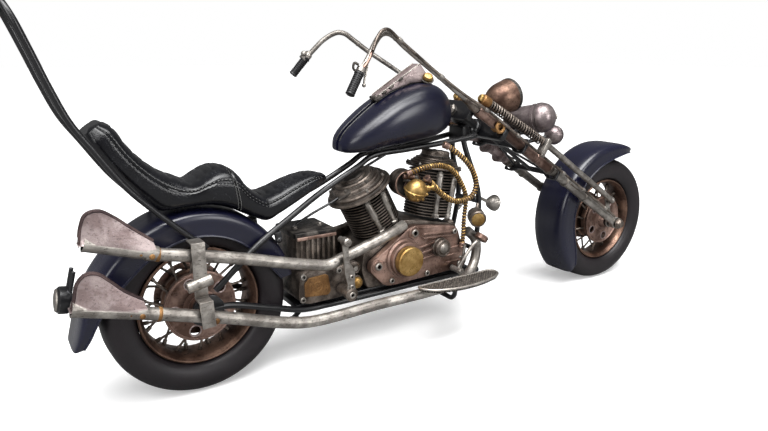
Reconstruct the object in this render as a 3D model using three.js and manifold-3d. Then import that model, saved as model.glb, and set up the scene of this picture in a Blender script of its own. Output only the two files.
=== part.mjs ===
// A hand-made metal display model of a long-fork chopper motorcycle, in millimetres.
// +X is forward, +Y is the rider's left, +Z is up. The ground is Z = 0 and the mid-plane is Y = 0.
// Everything is laid out from the rear axle (X = 0); the last lines centre the bounding box.

import * as THREE from "three";
import { mergeVertices } from "three/addons/utils/BufferGeometryUtils.js";
import Module from "manifold-3d";

const wasm = await Module();
wasm.setup();

// ---------------------------------------------------------------- driving dimensions

const GAP = 0.3; // clearance between neighbouring pieces

const TYRE_RADIUS = 42;
const TYRE_SEGMENTS = 32;
const AXLE_Z = TYRE_RADIUS * Math.cos(Math.PI / TYRE_SEGMENTS); // the lowest facet lies on the ground
const WHEELBASE = 278.55;
const REAR_TYRE_HALF_WIDTH = 12.2;
const FRONT_TYRE_HALF_WIDTH = 10.6;
const RIM_RADIUS = 27.6;
const DISC_RADIUS = 16.5;
const AXLE_RADIUS = 2.3;

const RAKE = THREE.MathUtils.degToRad(57.2); // fork angle from the vertical
const STEER_OFFSET = -3; // steering axis behind the plane of the fork legs
const FORK_LEG_Y = 18;
const FORK_LEG_TOP = 150; // distance up the fork from the front axle
const LOWER_TREE_S = 128;
const UPPER_TREE_S = 150;
const COIL_RADIUS = 2.6;

const RAIL_RADIUS = 1.6;
const REAR_RAIL_Y = 16.1;
const LOWER_RAIL_Y = 13.5;
const LOWER_RAIL_Z = 30;

const FENDER_WALL = 1.1;
const REAR_FENDER_HALF_WIDTH = 13.8;
const FRONT_FENDER_HALF_WIDTH = 13.2;

const CONSOLE_HALF_WIDTH = 3.6;

const CYLINDER_RADIUS = 13.6;
const CRANKCASE_HALF_WIDTH = 13;

const UPPER_PIPE_Y = -21.6;
const LOWER_PIPE_Y = -27.4;
const PIPE_RADIUS = 2.9;

const SISSY_Y = 15.9;
const SISSY_RADIUS = 1.3;
const HANDLEBAR_RADIUS = 1.3;
const CONTROL_CABLE_RADIUS = 0.8;

const SIDES = [["right", -1], ["left", 1]];

// ---------------------------------------------------------------- materials

function material(color, roughness, metalness) {
  return new THREE.MeshStandardMaterial({ color, roughness, metalness });
}

const navyPaint = material(0x1b1d33, 0.35, 0.3);
const blackPaint = material(0x17171b, 0.45, 0.2);
const blackLeather = material(0x15161a, 0.5, 0);
const tyreRubber = material(0x1c181a, 0.7, 0);
const agedSilver = material(0xa8a29a, 0.45, 0.8);
const pewter = material(0x5b534c, 0.5, 0.7);
const copper = material(0x8a5f4c, 0.45, 0.8);
const brass = material(0xb08432, 0.4, 0.9);

// ---------------------------------------------------------------- geometry helpers

const V = (x, y, z) => new THREE.Vector3(x, y, z);

// A closed solid for joining and cutting, always with its faces pointing out.
function solid(geometry) {
  const bare = geometry.clone();
  bare.deleteAttribute("normal");
  bare.deleteAttribute("uv");
  const merged = mergeVertices(bare, 1e-4);
  const triVerts = Uint32Array.from(merged.index.array);
  const vertProperties = Float32Array.from(merged.attributes.position.array);
  const made = new wasm.Manifold(new wasm.Mesh({ numProp: 3, vertProperties, triVerts }));
  if (made.volume() > 0) return made;
  const flipped = triVerts.map((_, i) => triVerts[i % 3 === 0 ? i : i % 3 === 1 ? i + 1 : i - 1]);
  return new wasm.Manifold(new wasm.Mesh({ numProp: 3, vertProperties, triVerts: flipped }));
}

function joined(...geometries) {
  return geometries.map(solid).reduce((whole, next) => whole.add(next));
}

function without(whole, ...cutters) {
  return cutters.map(solid).reduce((rest, cutter) => rest.subtract(cutter), whole);
}

// Turns a shape built around +Y so that +Y runs from `from` towards `to`, starting at `from`.
function placed(geometry, from, to) {
  const turn = new THREE.Quaternion().setFromUnitVectors(V(0, 1, 0), to.clone().sub(from).normalize());
  return geometry.applyQuaternion(turn).translate(from.x, from.y, from.z);
}

function rod(from, to, radius, sides = 10) {
  const length = from.distanceTo(to);
  const cylinder = new THREE.CylinderGeometry(radius, radius, length, sides).translate(0, length / 2, 0);
  return placed(cylinder, from, to);
}

// A body of revolution: profile points are [radius, distance along the axis].
function turned(profile, from, to, segments = 20) {
  const points = profile.map(([radius, along]) => new THREE.Vector2(radius, along));
  return placed(new THREE.LatheGeometry(points, segments), from, to);
}

// A bent tube through the points.
function tube(points, radius, steps, sides = 6) {
  const section = new THREE.Shape();
  for (let i = 0; i < sides; i += 1) {
    const angle = (2 * Math.PI * (i + 0.5)) / sides;
    const [x, y] = [radius * Math.cos(angle), radius * Math.sin(angle)];
    if (i === 0) section.moveTo(x, y);
    else section.lineTo(x, y);
  }
  const extrudePath = new THREE.CatmullRomCurve3(points, false, "centripetal");
  return new THREE.ExtrudeGeometry(section, { steps, extrudePath });
}

// A plate with an XZ outline, standing between two Y planes.
function plate(outline, yLow, yHigh, bevel = 0) {
  const shape = new THREE.Shape(outline.map(([x, z]) => new THREE.Vector2(x, z)));
  const geometry = new THREE.ExtrudeGeometry(shape, {
    depth: yHigh - yLow - 2 * bevel,
    bevelEnabled: bevel > 0,
    bevelThickness: bevel,
    bevelSize: bevel,
    bevelOffset: -bevel,
    bevelSegments: 1,
    curveSegments: 6,
  });
  return geometry.rotateX(Math.PI / 2).translate(0, yHigh - bevel, 0);
}

function box(x0, x1, y0, y1, z0, z1) {
  const geometry = new THREE.BoxGeometry(x1 - x0, y1 - y0, z1 - z0);
  return geometry.translate((x0 + x1) / 2, (y0 + y1) / 2, (z0 + z1) / 2);
}

function meshOf(positions, triangles) {
  const geometry = new THREE.BufferGeometry();
  const numbers = positions.flatMap((p) => p.toArray());
  geometry.setAttribute("position", new THREE.Float32BufferAttribute(numbers, 3));
  geometry.setIndex(triangles.flat());
  return geometry;
}

// A closed skin over rings of equal length, with a fan over each end.
function loft(rings) {
  const count = rings[0].length;
  const positions = rings.flat();
  const triangles = [];
  for (let i = 0; i + 1 < rings.length; i += 1) {
    for (let j = 0; j < count; j += 1) {
      const k = (j + 1) % count;
      const [a, b, c, d] = [i * count + j, i * count + k, (i + 1) * count + j, (i + 1) * count + k];
      triangles.push([a, b, d], [a, d, c]);
    }
  }
  const ends = [[rings[0], 0, true], [rings.at(-1), (rings.length - 1) * count, false]];
  for (const [ring, first, flip] of ends) {
    const centre = ring.reduce((sum, p) => sum.add(p), V(0, 0, 0)).divideScalar(count);
    positions.push(centre);
    for (let j = 0; j < count; j += 1) {
      const [a, b] = [first + j, first + ((j + 1) % count)];
      triangles.push(flip ? [positions.length - 1, b, a] : [positions.length - 1, a, b]);
    }
  }
  return meshOf(positions, triangles);
}

// A sheet with thickness: two grids of points, [row][column], joined along their four edges.
function shell(outer, inner) {
  const [rows, columns] = [outer.length, outer[0].length];
  const outside = (i, j) => i * columns + j;
  const inside = (i, j) => rows * columns + i * columns + j;
  const triangles = [];
  const quad = (a, b, c, d) => triangles.push([a, b, c], [a, c, d]);
  for (let i = 0; i + 1 < rows; i += 1) {
    for (let j = 0; j + 1 < columns; j += 1) {
      quad(outside(i, j), outside(i, j + 1), outside(i + 1, j + 1), outside(i + 1, j));
      quad(inside(i, j), inside(i + 1, j), inside(i + 1, j + 1), inside(i, j + 1));
    }
    const last = columns - 1;
    quad(outside(i, 0), outside(i + 1, 0), inside(i + 1, 0), inside(i, 0));
    quad(outside(i + 1, last), outside(i, last), inside(i, last), inside(i + 1, last));
  }
  for (let j = 0; j + 1 < columns; j += 1) {
    const last = rows - 1;
    quad(outside(0, j + 1), outside(0, j), inside(0, j), inside(0, j + 1));
    quad(outside(last, j), outside(last, j + 1), inside(last, j + 1), inside(last, j));
  }
  return meshOf([...outer.flat(), ...inner.flat()], triangles);
}

// ---------------------------------------------------------------- the scene graph

const model = new THREE.Group();

function piece(name, finish, made) {
  const whole = made instanceof THREE.BufferGeometry ? solid(made) : made;
  const mesh = whole.getMesh();
  const geometry = new THREE.BufferGeometry();
  geometry.setAttribute("position", new THREE.BufferAttribute(mesh.vertProperties, 3));
  geometry.setIndex(new THREE.BufferAttribute(mesh.triVerts, 1));
  geometry.computeVertexNormals();
  const node = new THREE.Mesh(geometry, finish);
  node.name = name;
  model.add(node);
}

// ---------------------------------------------------------------- wheels

function wheelRing(profile, x, segments = TYRE_SEGMENTS) {
  const points = profile.map(([radius, y]) => new THREE.Vector2(radius, y));
  points.push(points[0]);
  return new THREE.LatheGeometry(points, segments, Math.PI / segments).translate(x, 0, AXLE_Z);
}

function tyre(x, halfWidth) {
  const side = [[TYRE_RADIUS, 0.56], [39.6, 0.9], [34.4, 1], [RIM_RADIUS + GAP, 0.64]];
  const right = side.map(([radius, share]) => [radius, share * halfWidth]);
  const left = side.map(([radius, share]) => [radius, -share * halfWidth]).reverse();
  return wheelRing([...left, ...right], x);
}

// Rim, wire spokes and the ring that clamps the hub, soldered together.
function wireRim(x, halfWidth, spokes) {
  const edge = 0.68 * halfWidth;
  const rimProfile = [
    [RIM_RADIUS, -edge], [RIM_RADIUS, edge], [26.2, edge],
    [24.7, 2.6], [24.7, -2.6], [26.2, -edge],
  ];
  const rim = wheelRing(rimProfile, x, 20);
  const collar = wheelRing([[10.2, -5], [10.2, 5], [8, 5], [8, -5]], x, 16);
  const wires = [];
  for (let i = 0; i < spokes; i += 1) {
    const side = i % 2 === 0 ? 1 : -1;
    const angle = (2 * Math.PI * i) / spokes;
    const lead = angle + side * 0.35;
    const outer = V(x + 25.4 * Math.sin(angle), side * 1.2, AXLE_Z + 25.4 * Math.cos(angle));
    const inner = V(x + 9.4 * Math.sin(lead), side * 3.6, AXLE_Z + 9.4 * Math.cos(lead));
    wires.push(rod(inner, outer, 0.8, 4));
  }
  return joined(rim, collar, ...wires);
}

// Hub tube with a drilled brake disc on each side.
function discHub(x, discY, endY) {
  const bore = AXLE_RADIUS + GAP;
  const hub = [[7.7, -discY], [7.7, discY], [4.6, endY], [bore, endY], [bore, -endY], [4.6, -endY]];
  const discs = [-1, 1].map((side) => {
    const [inner, outer] = [side * (discY - 1.2), side * discY];
    return wheelRing([[7, inner], [DISC_RADIUS, inner], [DISC_RADIUS, outer], [7, outer]], x, 16);
  });
  const holes = [];
  for (let i = 0; i < 5; i += 1) {
    const angle = (2 * Math.PI * (i + 0.35)) / 5;
    const [hx, hz] = [x + 11.8 * Math.sin(angle), AXLE_Z + 11.8 * Math.cos(angle)];
    holes.push(rod(V(hx, -20, hz), V(hx, 20, hz), 2.3, 6));
  }
  return without(joined(wheelRing(hub, x, 16), ...discs), ...holes);
}

function nutAxle(x, plateY, nutY) {
  return joined(
    rod(V(x, -nutY, AXLE_Z), V(x, nutY, AXLE_Z), AXLE_RADIUS, 10),
    ...[-1, 1].map((side) => rod(V(x, side * plateY, AXLE_Z), V(x, side * (nutY - 0.8), AXLE_Z), 3.9, 6)),
  );
}

piece("rear_tyre", tyreRubber, tyre(0, REAR_TYRE_HALF_WIDTH));
piece("rear_rim", copper, wireRim(0, REAR_TYRE_HALF_WIDTH, 12));
piece("rear_hub", copper, discHub(0, 9, 12.4));
piece("rear_axle", agedSilver, nutAxle(0, REAR_RAIL_Y + RAIL_RADIUS + GAP, 21));
piece("front_tyre", tyreRubber, tyre(WHEELBASE, FRONT_TYRE_HALF_WIDTH));
piece("front_rim", copper, wireRim(WHEELBASE, FRONT_TYRE_HALF_WIDTH, 12));
piece("front_hub", copper, discHub(WHEELBASE, 8.4, 12.4));
piece("front_axle", agedSilver, nutAxle(WHEELBASE, FORK_LEG_Y + 2.9 + GAP, 24));

// ---------------------------------------------------------------- frame

// A point on the fork: s up the legs from the front axle, n forward of their plane, y across.
function onFork(s, n, y) {
  const [back, rise] = [-Math.sin(RAKE), Math.cos(RAKE)];
  return V(WHEELBASE + s * back + n * rise, y, AXLE_Z + s * rise - n * back);
}

function neckAndDowntubes() {
  const [low, high] = [LOWER_TREE_S + 2 + GAP, UPPER_TREE_S - 2 - GAP];
  const neck = rod(onFork(low, STEER_OFFSET, 0), onFork(high, STEER_OFFSET, 0), 4.6, 12);
  const bore = rod(onFork(low - 5, STEER_OFFSET, 0), onFork(high + 5, STEER_OFFSET, 0), 2.8, 10);
  const gusset = box(152.5, 158.5, -6.3, 6.3, 104, 113);
  const downtubes = SIDES.map(([, side]) => tube([
    V(155, side * 3.4, 112),
    V(154.8, side * 5, 104),
    V(157.1, side * 7, 94.4),
    V(161, side * 8.2, 84),
    V(163.8, side * 9, 73),
    V(163.2, side * 10.2, 60),
    V(161, side * 11.4, 46),
    V(158.8, side * 12.9, 33.4),
  ], RAIL_RADIUS, 9));
  return without(joined(neck, gusset, ...downtubes), bore);
}

function upperRail(side) {
  return tube([
    V(5, side * REAR_RAIL_Y, 50.6),
    V(26, side * REAR_RAIL_Y, 68.4),
    V(46, side * 10.5, 78),
    V(64, side * 5.2, 86),
    V(86, side * 4.4, 96.8),
    V(94, side * 4.4, 101.2),
    V(117, side * 5, 103.2),
    V(137, side * 6.4, 104.9),
    V(160.5, side * 8.6, 107.8),
  ], RAIL_RADIUS, 11);
}

// The lower rail and the plate that holds the rear axle.
function lowerRail(side) {
  const rail = tube([
    V(-1, side * REAR_RAIL_Y, AXLE_Z),
    V(10, side * REAR_RAIL_Y, 42.4),
    V(30, side * 15.6, 36.6),
    V(48, side * 14.3, 31),
    V(62, side * LOWER_RAIL_Y, LOWER_RAIL_Z),
    V(110, side * LOWER_RAIL_Y, LOWER_RAIL_Z),
    V(161, side * LOWER_RAIL_Y, LOWER_RAIL_Z),
  ], RAIL_RADIUS, 11);
  const outline = [[-7, 38], [0, 34.5], [7, 37], [9, 44], [4, 48.4], [-5, 47.5]];
  const [y0, y1] = [side * (REAR_RAIL_Y - 1.2), side * (REAR_RAIL_Y + 1.4)];
  const axlePlate = plate(outline, Math.min(y0, y1), Math.max(y0, y1));
  const standLug = box(71, 78, Math.min(side * 13, side * 16.6), Math.max(side * 13, side * 16.6), 25.4, 29);
  const parts = side > 0 ? [rail, axlePlate, standLug] : [rail, axlePlate];
  return without(joined(...parts), rod(V(0, -30, AXLE_Z), V(0, 30, AXLE_Z), AXLE_RADIUS + GAP, 10));
}

piece("neck_and_downtubes", blackPaint, neckAndDowntubes());
for (const [name, side] of SIDES) {
  piece(`upper_rail_${name}`, blackPaint, upperRail(side));
  piece(`lower_rail_${name}`, blackPaint, lowerRail(side));
}
piece("engine_plate", blackPaint, box(46, 156, -11.2, 11.2, 29.4, 32.6));

// ---------------------------------------------------------------- fenders

// A curved mudguard about (centreX, centreZ). Each station gives [angle in degrees, crown radius,
// radius of the side's lower edge, share of the full half width].
function fender(centreX, centreZ, halfWidth, stations) {
  const across = [-1, -1, -0.78, 0, 0.78, 1, 1];
  const drop = [1, 0.32, 0.08, 0, 0.08, 0.32, 1];
  const grid = (inset) => stations.map(([degrees, crown, edge, share]) => {
    const angle = THREE.MathUtils.degToRad(degrees);
    const width = halfWidth * share - inset;
    return across.map((reach, j) => {
      const radius = crown - inset - drop[j] * (crown - inset - edge);
      return V(centreX + radius * Math.cos(angle), reach * width, centreZ + radius * Math.sin(angle));
    });
  });
  return shell(grid(0), grid(FENDER_WALL));
}

const rearFenderStations = [
  [11, 45.2, 38.5, 1],
  [24, 45.2, 35.2, 1],
  [42, 45.2, 33.8, 1],
  [60, 45.2, 33.8, 1],
  [78, 45.2, 33.8, 1],
  [96, 45.2, 33.8, 1],
  [113, 45.2, 33.8, 1],
  [128, 45.4, 34.2, 1],
  [144, 46.2, 35.4, 1],
  [158, 47.6, 38, 1],
  [170, 49.3, 41.6, 1],
  [180, 51, 44.4, 0.98],
  [188, 53.4, 46.8, 0.92],
  [194, 56, 49.5, 0.82],
];
piece("rear_fender", navyPaint, fender(0, AXLE_Z, REAR_FENDER_HALF_WIDTH, rearFenderStations));

const frontFenderStations = [
  [55, 49.4, 47.4, 0.45],
  [62, 49.2, 45.6, 0.78],
  [72, 49, 43.4, 0.95],
  [84, 49, 40.8, 1],
  [98, 49, 38.6, 1],
  [114, 49, 37.6, 1],
  [130, 49, 37.2, 1],
  [146, 49, 37, 1],
  [162, 49, 36.6, 1],
  [178, 49, 36.2, 1],
  [194, 49.2, 36, 1],
  [208, 49.4, 37.2, 1],
  [219, 49.6, 40, 0.98],
  [225, 49.6, 43.2, 0.93],
];
const frontFender = fender(WHEELBASE + 2.4, AXLE_Z + 3.2, FRONT_FENDER_HALF_WIDTH, frontFenderStations);
piece("front_fender", navyPaint, frontFender);

// ---------------------------------------------------------------- seat and tank

// Stations along the seat: [top x, top z, bottom x, bottom z, half width].
const seatStations = [
  [-33, 126.2, -39.6, 121.6, 9],
  [-28.4, 123.6, -38, 116, 12],
  [-23.4, 115.6, -32.6, 108, 13.2],
  [-17.8, 109.2, -27.4, 101, 13.4],
  [-11.4, 104, -21.2, 94, 13.6],
  [-4.8, 100.8, -14.4, 87.8, 13.7],
  [0.6, 98.6, -4.2, 88, 14],
  [6, 101.2, 3, 88, 15],
  [11.2, 103.6, 9, 87.2, 15.2],
  [16.4, 103.6, 14.4, 85.6, 15.2],
  [20.6, 100.8, 18.6, 83.8, 15],
  [24, 95.8, 22.6, 81.6, 14.4],
  [28.2, 91.8, 28, 78.8, 13.6],
  [33, 89.2, 34, 76.4, 12.8],
  [39.4, 90.4, 40.4, 78.8, 12],
  [46.4, 93, 47.4, 81.8, 11],
  [54, 95.2, 55.4, 85.4, 9.6],
  [61, 96, 62.6, 89, 7.8],
  [67, 94.6, 67.6, 91.8, 5],
];

function seat() {
  const rings = seatStations.map(([topX, topZ, lowX, lowZ, halfWidth]) => {
    const ring = [];
    for (let i = 0; i < 14; i += 1) {
      const angle = (2 * Math.PI * (i + 0.5)) / 14;
      const across = Math.sign(Math.cos(angle)) * Math.abs(Math.cos(angle)) ** 0.55;
      const up = 0.5 + 0.5 * Math.sign(Math.sin(angle)) * Math.abs(Math.sin(angle)) ** 0.6;
      ring.push(V(lowX + up * (topX - lowX), across * halfWidth, lowZ + up * (topZ - lowZ)));
    }
    return ring;
  });
  return loft(rings);
}

piece("seat", blackLeather, seat());

// Stations along the tank: [x, top z, bottom z, half width].
const tankStations = [
  [76.4, 108.8, 105, 5.2],
  [79.4, 113.6, 104, 9.6],
  [85.6, 119, 103.8, 13.6],
  [95.6, 126.2, 104.6, 16.6],
  [107, 132.6, 106, 18],
  [120, 136.6, 107.4, 18],
  [130.6, 136.8, 108.6, 16.2],
  [137.6, 133.4, 110.6, 12.6],
  [142, 128.4, 113, 8.8],
  [144.4, 123, 116.4, 5],
];

function tankHalf(side) {
  const inner = 1.2;
  const rings = tankStations.map(([x, top, bottom, halfWidth]) => {
    const [middle, half] = [(top + bottom) / 2, (top - bottom) / 2];
    const ring = [];
    for (let i = 0; i <= 10; i += 1) {
      const angle = (Math.PI * i) / 10 - Math.PI / 2;
      const across = Math.cos(angle) ** 0.72;
      const up = Math.sign(Math.sin(angle)) * Math.abs(Math.sin(angle)) ** 0.86;
      ring.push(V(x, side * (inner + across * (halfWidth - inner)), middle + up * half));
    }
    return ring;
  });
  return loft(rings);
}

for (const [name, side] of SIDES) piece(`tank_${name}`, navyPaint, tankHalf(side));

// The console is a wedge of folded sheet, deepest at its front.
const consoleOutline = [
  [96.2, 127.9], [107, 133.5], [119, 137.3], [130.6, 137.9], [132.6, 137.5],
  [124.8, 147.4], [115.5, 141.8], [103, 134.2], [96.4, 130.2],
];
piece("tank_console", agedSilver, plate(consoleOutline, -CONSOLE_HALF_WIDTH, CONSOLE_HALF_WIDTH, 0.5));

// ---------------------------------------------------------------- engine

// Each bank of the V: base of the barrel, lean from the vertical, barrel height, head flange
// radius and head top.
const rearBank = {
  base: V(99.3, 0, 63.7),
  lean: THREE.MathUtils.degToRad(-27.4),
  barrel: 22,
  flange: 17.6,
  top: 29.8,
};
const frontBank = {
  base: V(133.4, 0, 63.9),
  lean: THREE.MathUtils.degToRad(8.8),
  barrel: 26.6,
  flange: 15.8,
  top: 36.8,
};

function up(bank, height) {
  return bank.base.clone().add(V(Math.sin(bank.lean), 0, Math.cos(bank.lean)).multiplyScalar(height));
}

// A finned barrel with its two pushrod tubes soldered to the fins on the right side.
function barrel(bank) {
  const fins = 5;
  const pitch = bank.barrel / fins;
  const core = CYLINDER_RADIUS - 2.4;
  const profile = [[0, 0.4]];
  for (let i = 0; i < fins; i += 1) {
    const start = 0.4 + i * pitch;
    profile.push([core, start], [CYLINDER_RADIUS, start + 0.3]);
    profile.push([CYLINDER_RADIUS, start + 1.3], [core, start + 1.5]);
  }
  profile.push([core, bank.barrel], [0, bank.barrel]);
  const forward = V(Math.cos(bank.lean), 0, -Math.sin(bank.lean));
  const tubes = [-4.5, 5.5].map((offset) => {
    const reach = Math.sqrt(CYLINDER_RADIUS ** 2 - offset ** 2);
    const shift = forward.clone().multiplyScalar(offset).add(V(0, -reach, 0));
    return rod(up(bank, 0.8).add(shift), up(bank, bank.barrel - 0.4).add(shift), 1.6, 6);
  });
  return joined(turned(profile, up(bank, 0), up(bank, 1), 14), ...tubes);
}

function cylinderHead(bank) {
  const low = bank.barrel + GAP;
  const profile = [
    [0, low], [bank.flange - 0.4, low], [bank.flange, low + 0.8], [bank.flange - 1, low + 2.2],
    [bank.flange - 4.4, low + 4], [10.6, bank.top - 2.6], [8, bank.top - 0.6], [7.2, bank.top], [0, bank.top],
  ];
  return turned(profile, up(bank, 0), up(bank, 1), 16);
}

piece("rear_cylinder", pewter, barrel(rearBank));
piece("front_cylinder", pewter, barrel(frontBank));
piece("rear_head", pewter, cylinderHead(rearBank));
piece("front_head", pewter, cylinderHead(frontBank));

const crankcaseOutline = [
  [86, 33], [146, 33], [149, 38], [143, 60.4],
  [113.8, 66.6], [107.6, 67.4], [84.4, 55.4], [82.4, 44],
];
piece("crankcase", pewter, plate(crankcaseOutline, -CRANKCASE_HALF_WIDTH, CRANKCASE_HALF_WIDTH, 1));

const camCoverOutline = [
  [94, 34.4], [100, 33.8], [147, 35.2], [149.4, 38], [142, 58.6],
  [139, 60.6], [113, 64.6], [108.6, 63.4], [85.6, 48.2], [85, 44],
];
const camCover = without(
  joined(
    plate(camCoverOutline, -17.5, -CRANKCASE_HALF_WIDTH - GAP),
    rod(V(105.5, -17, 48), V(105.5, -21.6, 48), 9.2, 18),
    rod(V(129.5, -17, 50), V(129.5, -21.8, 50), 5, 12),
  ),
  rod(V(112.2, -20, 61), V(112.2, -15.6, 61), 1.8, 10),
  rod(V(89.6, -20, 46.2), V(89.6, -15.6, 46.2), 1.8, 10),
);
piece("cam_cover", copper, camCover);
const discProfile = [[0, 0], [7.8, 0], [7.8, 3.2], [7.2, 4], [0, 4]];
piece("cover_disc", brass, turned(discProfile, V(105, -21.6 - GAP, 48), V(105, -26, 48), 18));

const primaryOutline = [];
for (const [x, z, radius, start, end] of [[66, 45.2, 12, 90, 270], [118, 49.4, 16.2, -90, 90]]) {
  for (let i = 0; i <= 8; i += 1) {
    const angle = THREE.MathUtils.degToRad(start + ((end - start) * i) / 8);
    primaryOutline.push([x + radius * Math.cos(angle), z + radius * Math.sin(angle)]);
  }
}
piece("primary_cover", pewter, plate(primaryOutline, CRANKCASE_HALF_WIDTH + GAP, 19.4, 1.4));

const airCleaner = joined(
  rod(V(110.6, -6.4, 86.8), V(107.4, -18.8, 87.4), 7.2, 14),
  rod(V(107.6, -18, 86.8), V(108, -22, 85.6), 3, 12),
  new THREE.SphereGeometry(6, 12, 8).translate(108.2, -24, 85.2),
);
piece("air_cleaner", copper, airCleaner);

const gearboxOutline = [
  [45, 36.4], [50, 33.6], [68.6, 33.6], [74, 36.4],
  [75, 46], [71, 50.4], [52, 51.6], [46, 49.6],
];
const gearbox = joined(
  plate(gearboxOutline, -16.4, 12.4, 1),
  rod(V(77.4, -12, 45), V(77.4, -17, 45), 3.6, 12),
  box(73, 79, -14, 10, 36, 48),
);
piece("gearbox", pewter, gearbox);

function batteryBox() {
  const body = box(46, 67, -13.6, 9.6, 53, 69.4);
  const ribs = [];
  for (let i = 0; i < 6; i += 1) {
    const x = 48 + i * 3.2;
    ribs.push(box(x, x + 1.8, -14.8, -13.2, 54, 66.4));
  }
  return joined(body, ...ribs);
}
piece("battery_box", pewter, batteryBox());

const kickLever = joined(
  plate([[63.4, 67], [67.2, 67], [70.6, 36], [66, 35]], -27, -25.6),
  rod(V(68.2, -16.4 - GAP, 38.6), V(68.2, -28, 38.6), 2.8, 12),
  rod(V(65.4, -21.4, 66), V(65.4, -29.6, 66), 2, 12),
);
piece("kick_lever", agedSilver, kickLever);

const hornProfile = [[0, 0], [3.6, 0], [4.8, 3], [4.8, 9.6], [4, 10], [0, 10]];
piece("horn", brass, turned(hornProfile, V(157.4, -13.2, 64), V(152.4, -22.8, 62.7), 18));

const oilHoseRoute = [
  V(131.2, -16.6, 106),
  V(136, -18.6, 103),
  V(145.2, -20.2, 94.9),
  V(151, -20.6, 85.4),
  V(148.8, -21.2, 77.6),
  V(137.3, -22, 75.4),
  V(126.4, -23, 80.4),
  V(118.6, -24.6, 86.8),
  V(113.4, -25.4, 91.4),
];
piece("oil_hose", brass, tube(oilHoseRoute, 1.4, 20));
const breatherHoseRoute = [
  V(104, -21.2, 93.4),
  V(113.3, -21.4, 95.6),
  V(126.4, -20, 95.6),
  V(135.6, -18.8, 92.2),
  V(143, -17.8, 84),
  V(146.8, -17.4, 76.7),
  V(147, -17.4, 71),
  V(145.4, -18.4, 64),
  V(144.6, -19, 55),
  V(144, -19.2, 47.6),
];
piece("breather_hose", brass, tube(breatherHoseRoute, 1.3, 22));

// ---------------------------------------------------------------- exhausts

const upperPipeRoute = [
  V(-19.2, UPPER_PIPE_Y, 73.3),
  V(11, UPPER_PIPE_Y, 66.4),
  V(48, UPPER_PIPE_Y, 56.2),
  V(58.6, UPPER_PIPE_Y, 54.2),
  V(67, UPPER_PIPE_Y + 0.6, 56),
  V(94, UPPER_PIPE_Y + 1.4, 62.9),
  V(105.4, UPPER_PIPE_Y + 4.2, 65.9),
];
piece("upper_exhaust", agedSilver, tube(upperPipeRoute, PIPE_RADIUS, 14, 10));
const lowerPipeRoute = [
  V(-26, LOWER_PIPE_Y, 51.2),
  V(7, LOWER_PIPE_Y, 41.2),
  V(32, LOWER_PIPE_Y, 33),
  V(46, LOWER_PIPE_Y, 30),
  V(84, LOWER_PIPE_Y, 30.2),
  V(118, LOWER_PIPE_Y, 30.2),
  V(138, LOWER_PIPE_Y + 2.4, 30.6),
  V(150, LOWER_PIPE_Y + 6.8, 34),
  V(155.6, LOWER_PIPE_Y + 9.4, 42),
  V(155.4, LOWER_PIPE_Y + 10.4, 50),
  V(149.4, LOWER_PIPE_Y + 10.8, 56),
];
piece("lower_exhaust", agedSilver, tube(lowerPipeRoute, PIPE_RADIUS, 20, 10));

const upperTail = [
  [-21, 70.4], [-20.4, 79.6], [-28.6, 86.4], [-34.4, 91.6],
  [-40, 95.2], [-44.8, 94.2], [-46.6, 89.4], [-48.4, 80],
];
const lowerTail = [
  [-27.8, 48.4], [-27.4, 57.8], [-34.4, 63], [-39.6, 68.6], [-43.6, 72.4],
  [-48.2, 72.4], [-51, 69], [-52.2, 63], [-54.8, 56.6],
];

function fishtail(outline, pipeY) {
  return plate(outline, pipeY - 3.4, pipeY + 3.2, 1);
}
piece("upper_fishtail", agedSilver, fishtail(upperTail, UPPER_PIPE_Y));
piece("lower_fishtail", agedSilver, fishtail(lowerTail, LOWER_PIPE_Y));

const strap = joined(
  box(-7, -1, -26.4, -25.2, 57, 77),
  box(-7, -1, -26.4, -18.8, 75.4, 76.6),
  rod(V(-9.6, -25.4, 58.2), V(1, -25.4, 57.6), 2.5, 14),
  box(-7, -1, -31.2, -25, 52, 53.2),
  box(-7, -1, -26.2, -25, 52, 57),
  box(-7, -1, -32.4, -31.2, 41, 53.2),
);
piece("exhaust_strap", agedSilver, strap);

// ---------------------------------------------------------------- foot controls

function footBoard(side) {
  const shape = new THREE.Shape();
  shape.moveTo(105, 31);
  shape.lineTo(154, 31);
  shape.quadraticCurveTo(158, 37, 150, 41);
  shape.quadraticCurveTo(128, 48, 112, 41);
  shape.quadraticCurveTo(104, 37, 105, 31);
  const board = new THREE.ExtrudeGeometry(shape, { depth: 2.4, bevelEnabled: false, curveSegments: 5 });
  board.translate(0, 0, 34.4);
  const armRoute = [
    V(128, 33.4, 35),
    V(128, 33.2, 28),
    V(128, 31, 25.4),
    V(128, 25, 25),
    V(128, LOWER_RAIL_Y, 25.4),
  ];
  const arm = tube(armRoute, 1.3, 8);
  const board3d = solid(board).add(solid(arm));
  return side > 0 ? board3d : board3d.mirror([0, 1, 0]);
}
for (const [name, side] of SIDES) piece(`foot_board_${name}`, pewter, footBoard(side));

const brakePedal = joined(
  tube([V(137.6, -23.4, 36.6), V(141, -24, 42), V(148, -24.2, 50), V(153.4, -24.2, 52.8)], 1.1, 6),
  rod(V(137.8, -18.4, 36.8), V(137.8, -26, 36.8), 1.7, 10),
  rod(V(152.6, -24.2, 51.8), V(154.8, -24.2, 54.6), 3.8, 14),
);
piece("brake_pedal", agedSilver, brakePedal);

// ---------------------------------------------------------------- sissy bar and lamps

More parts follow.
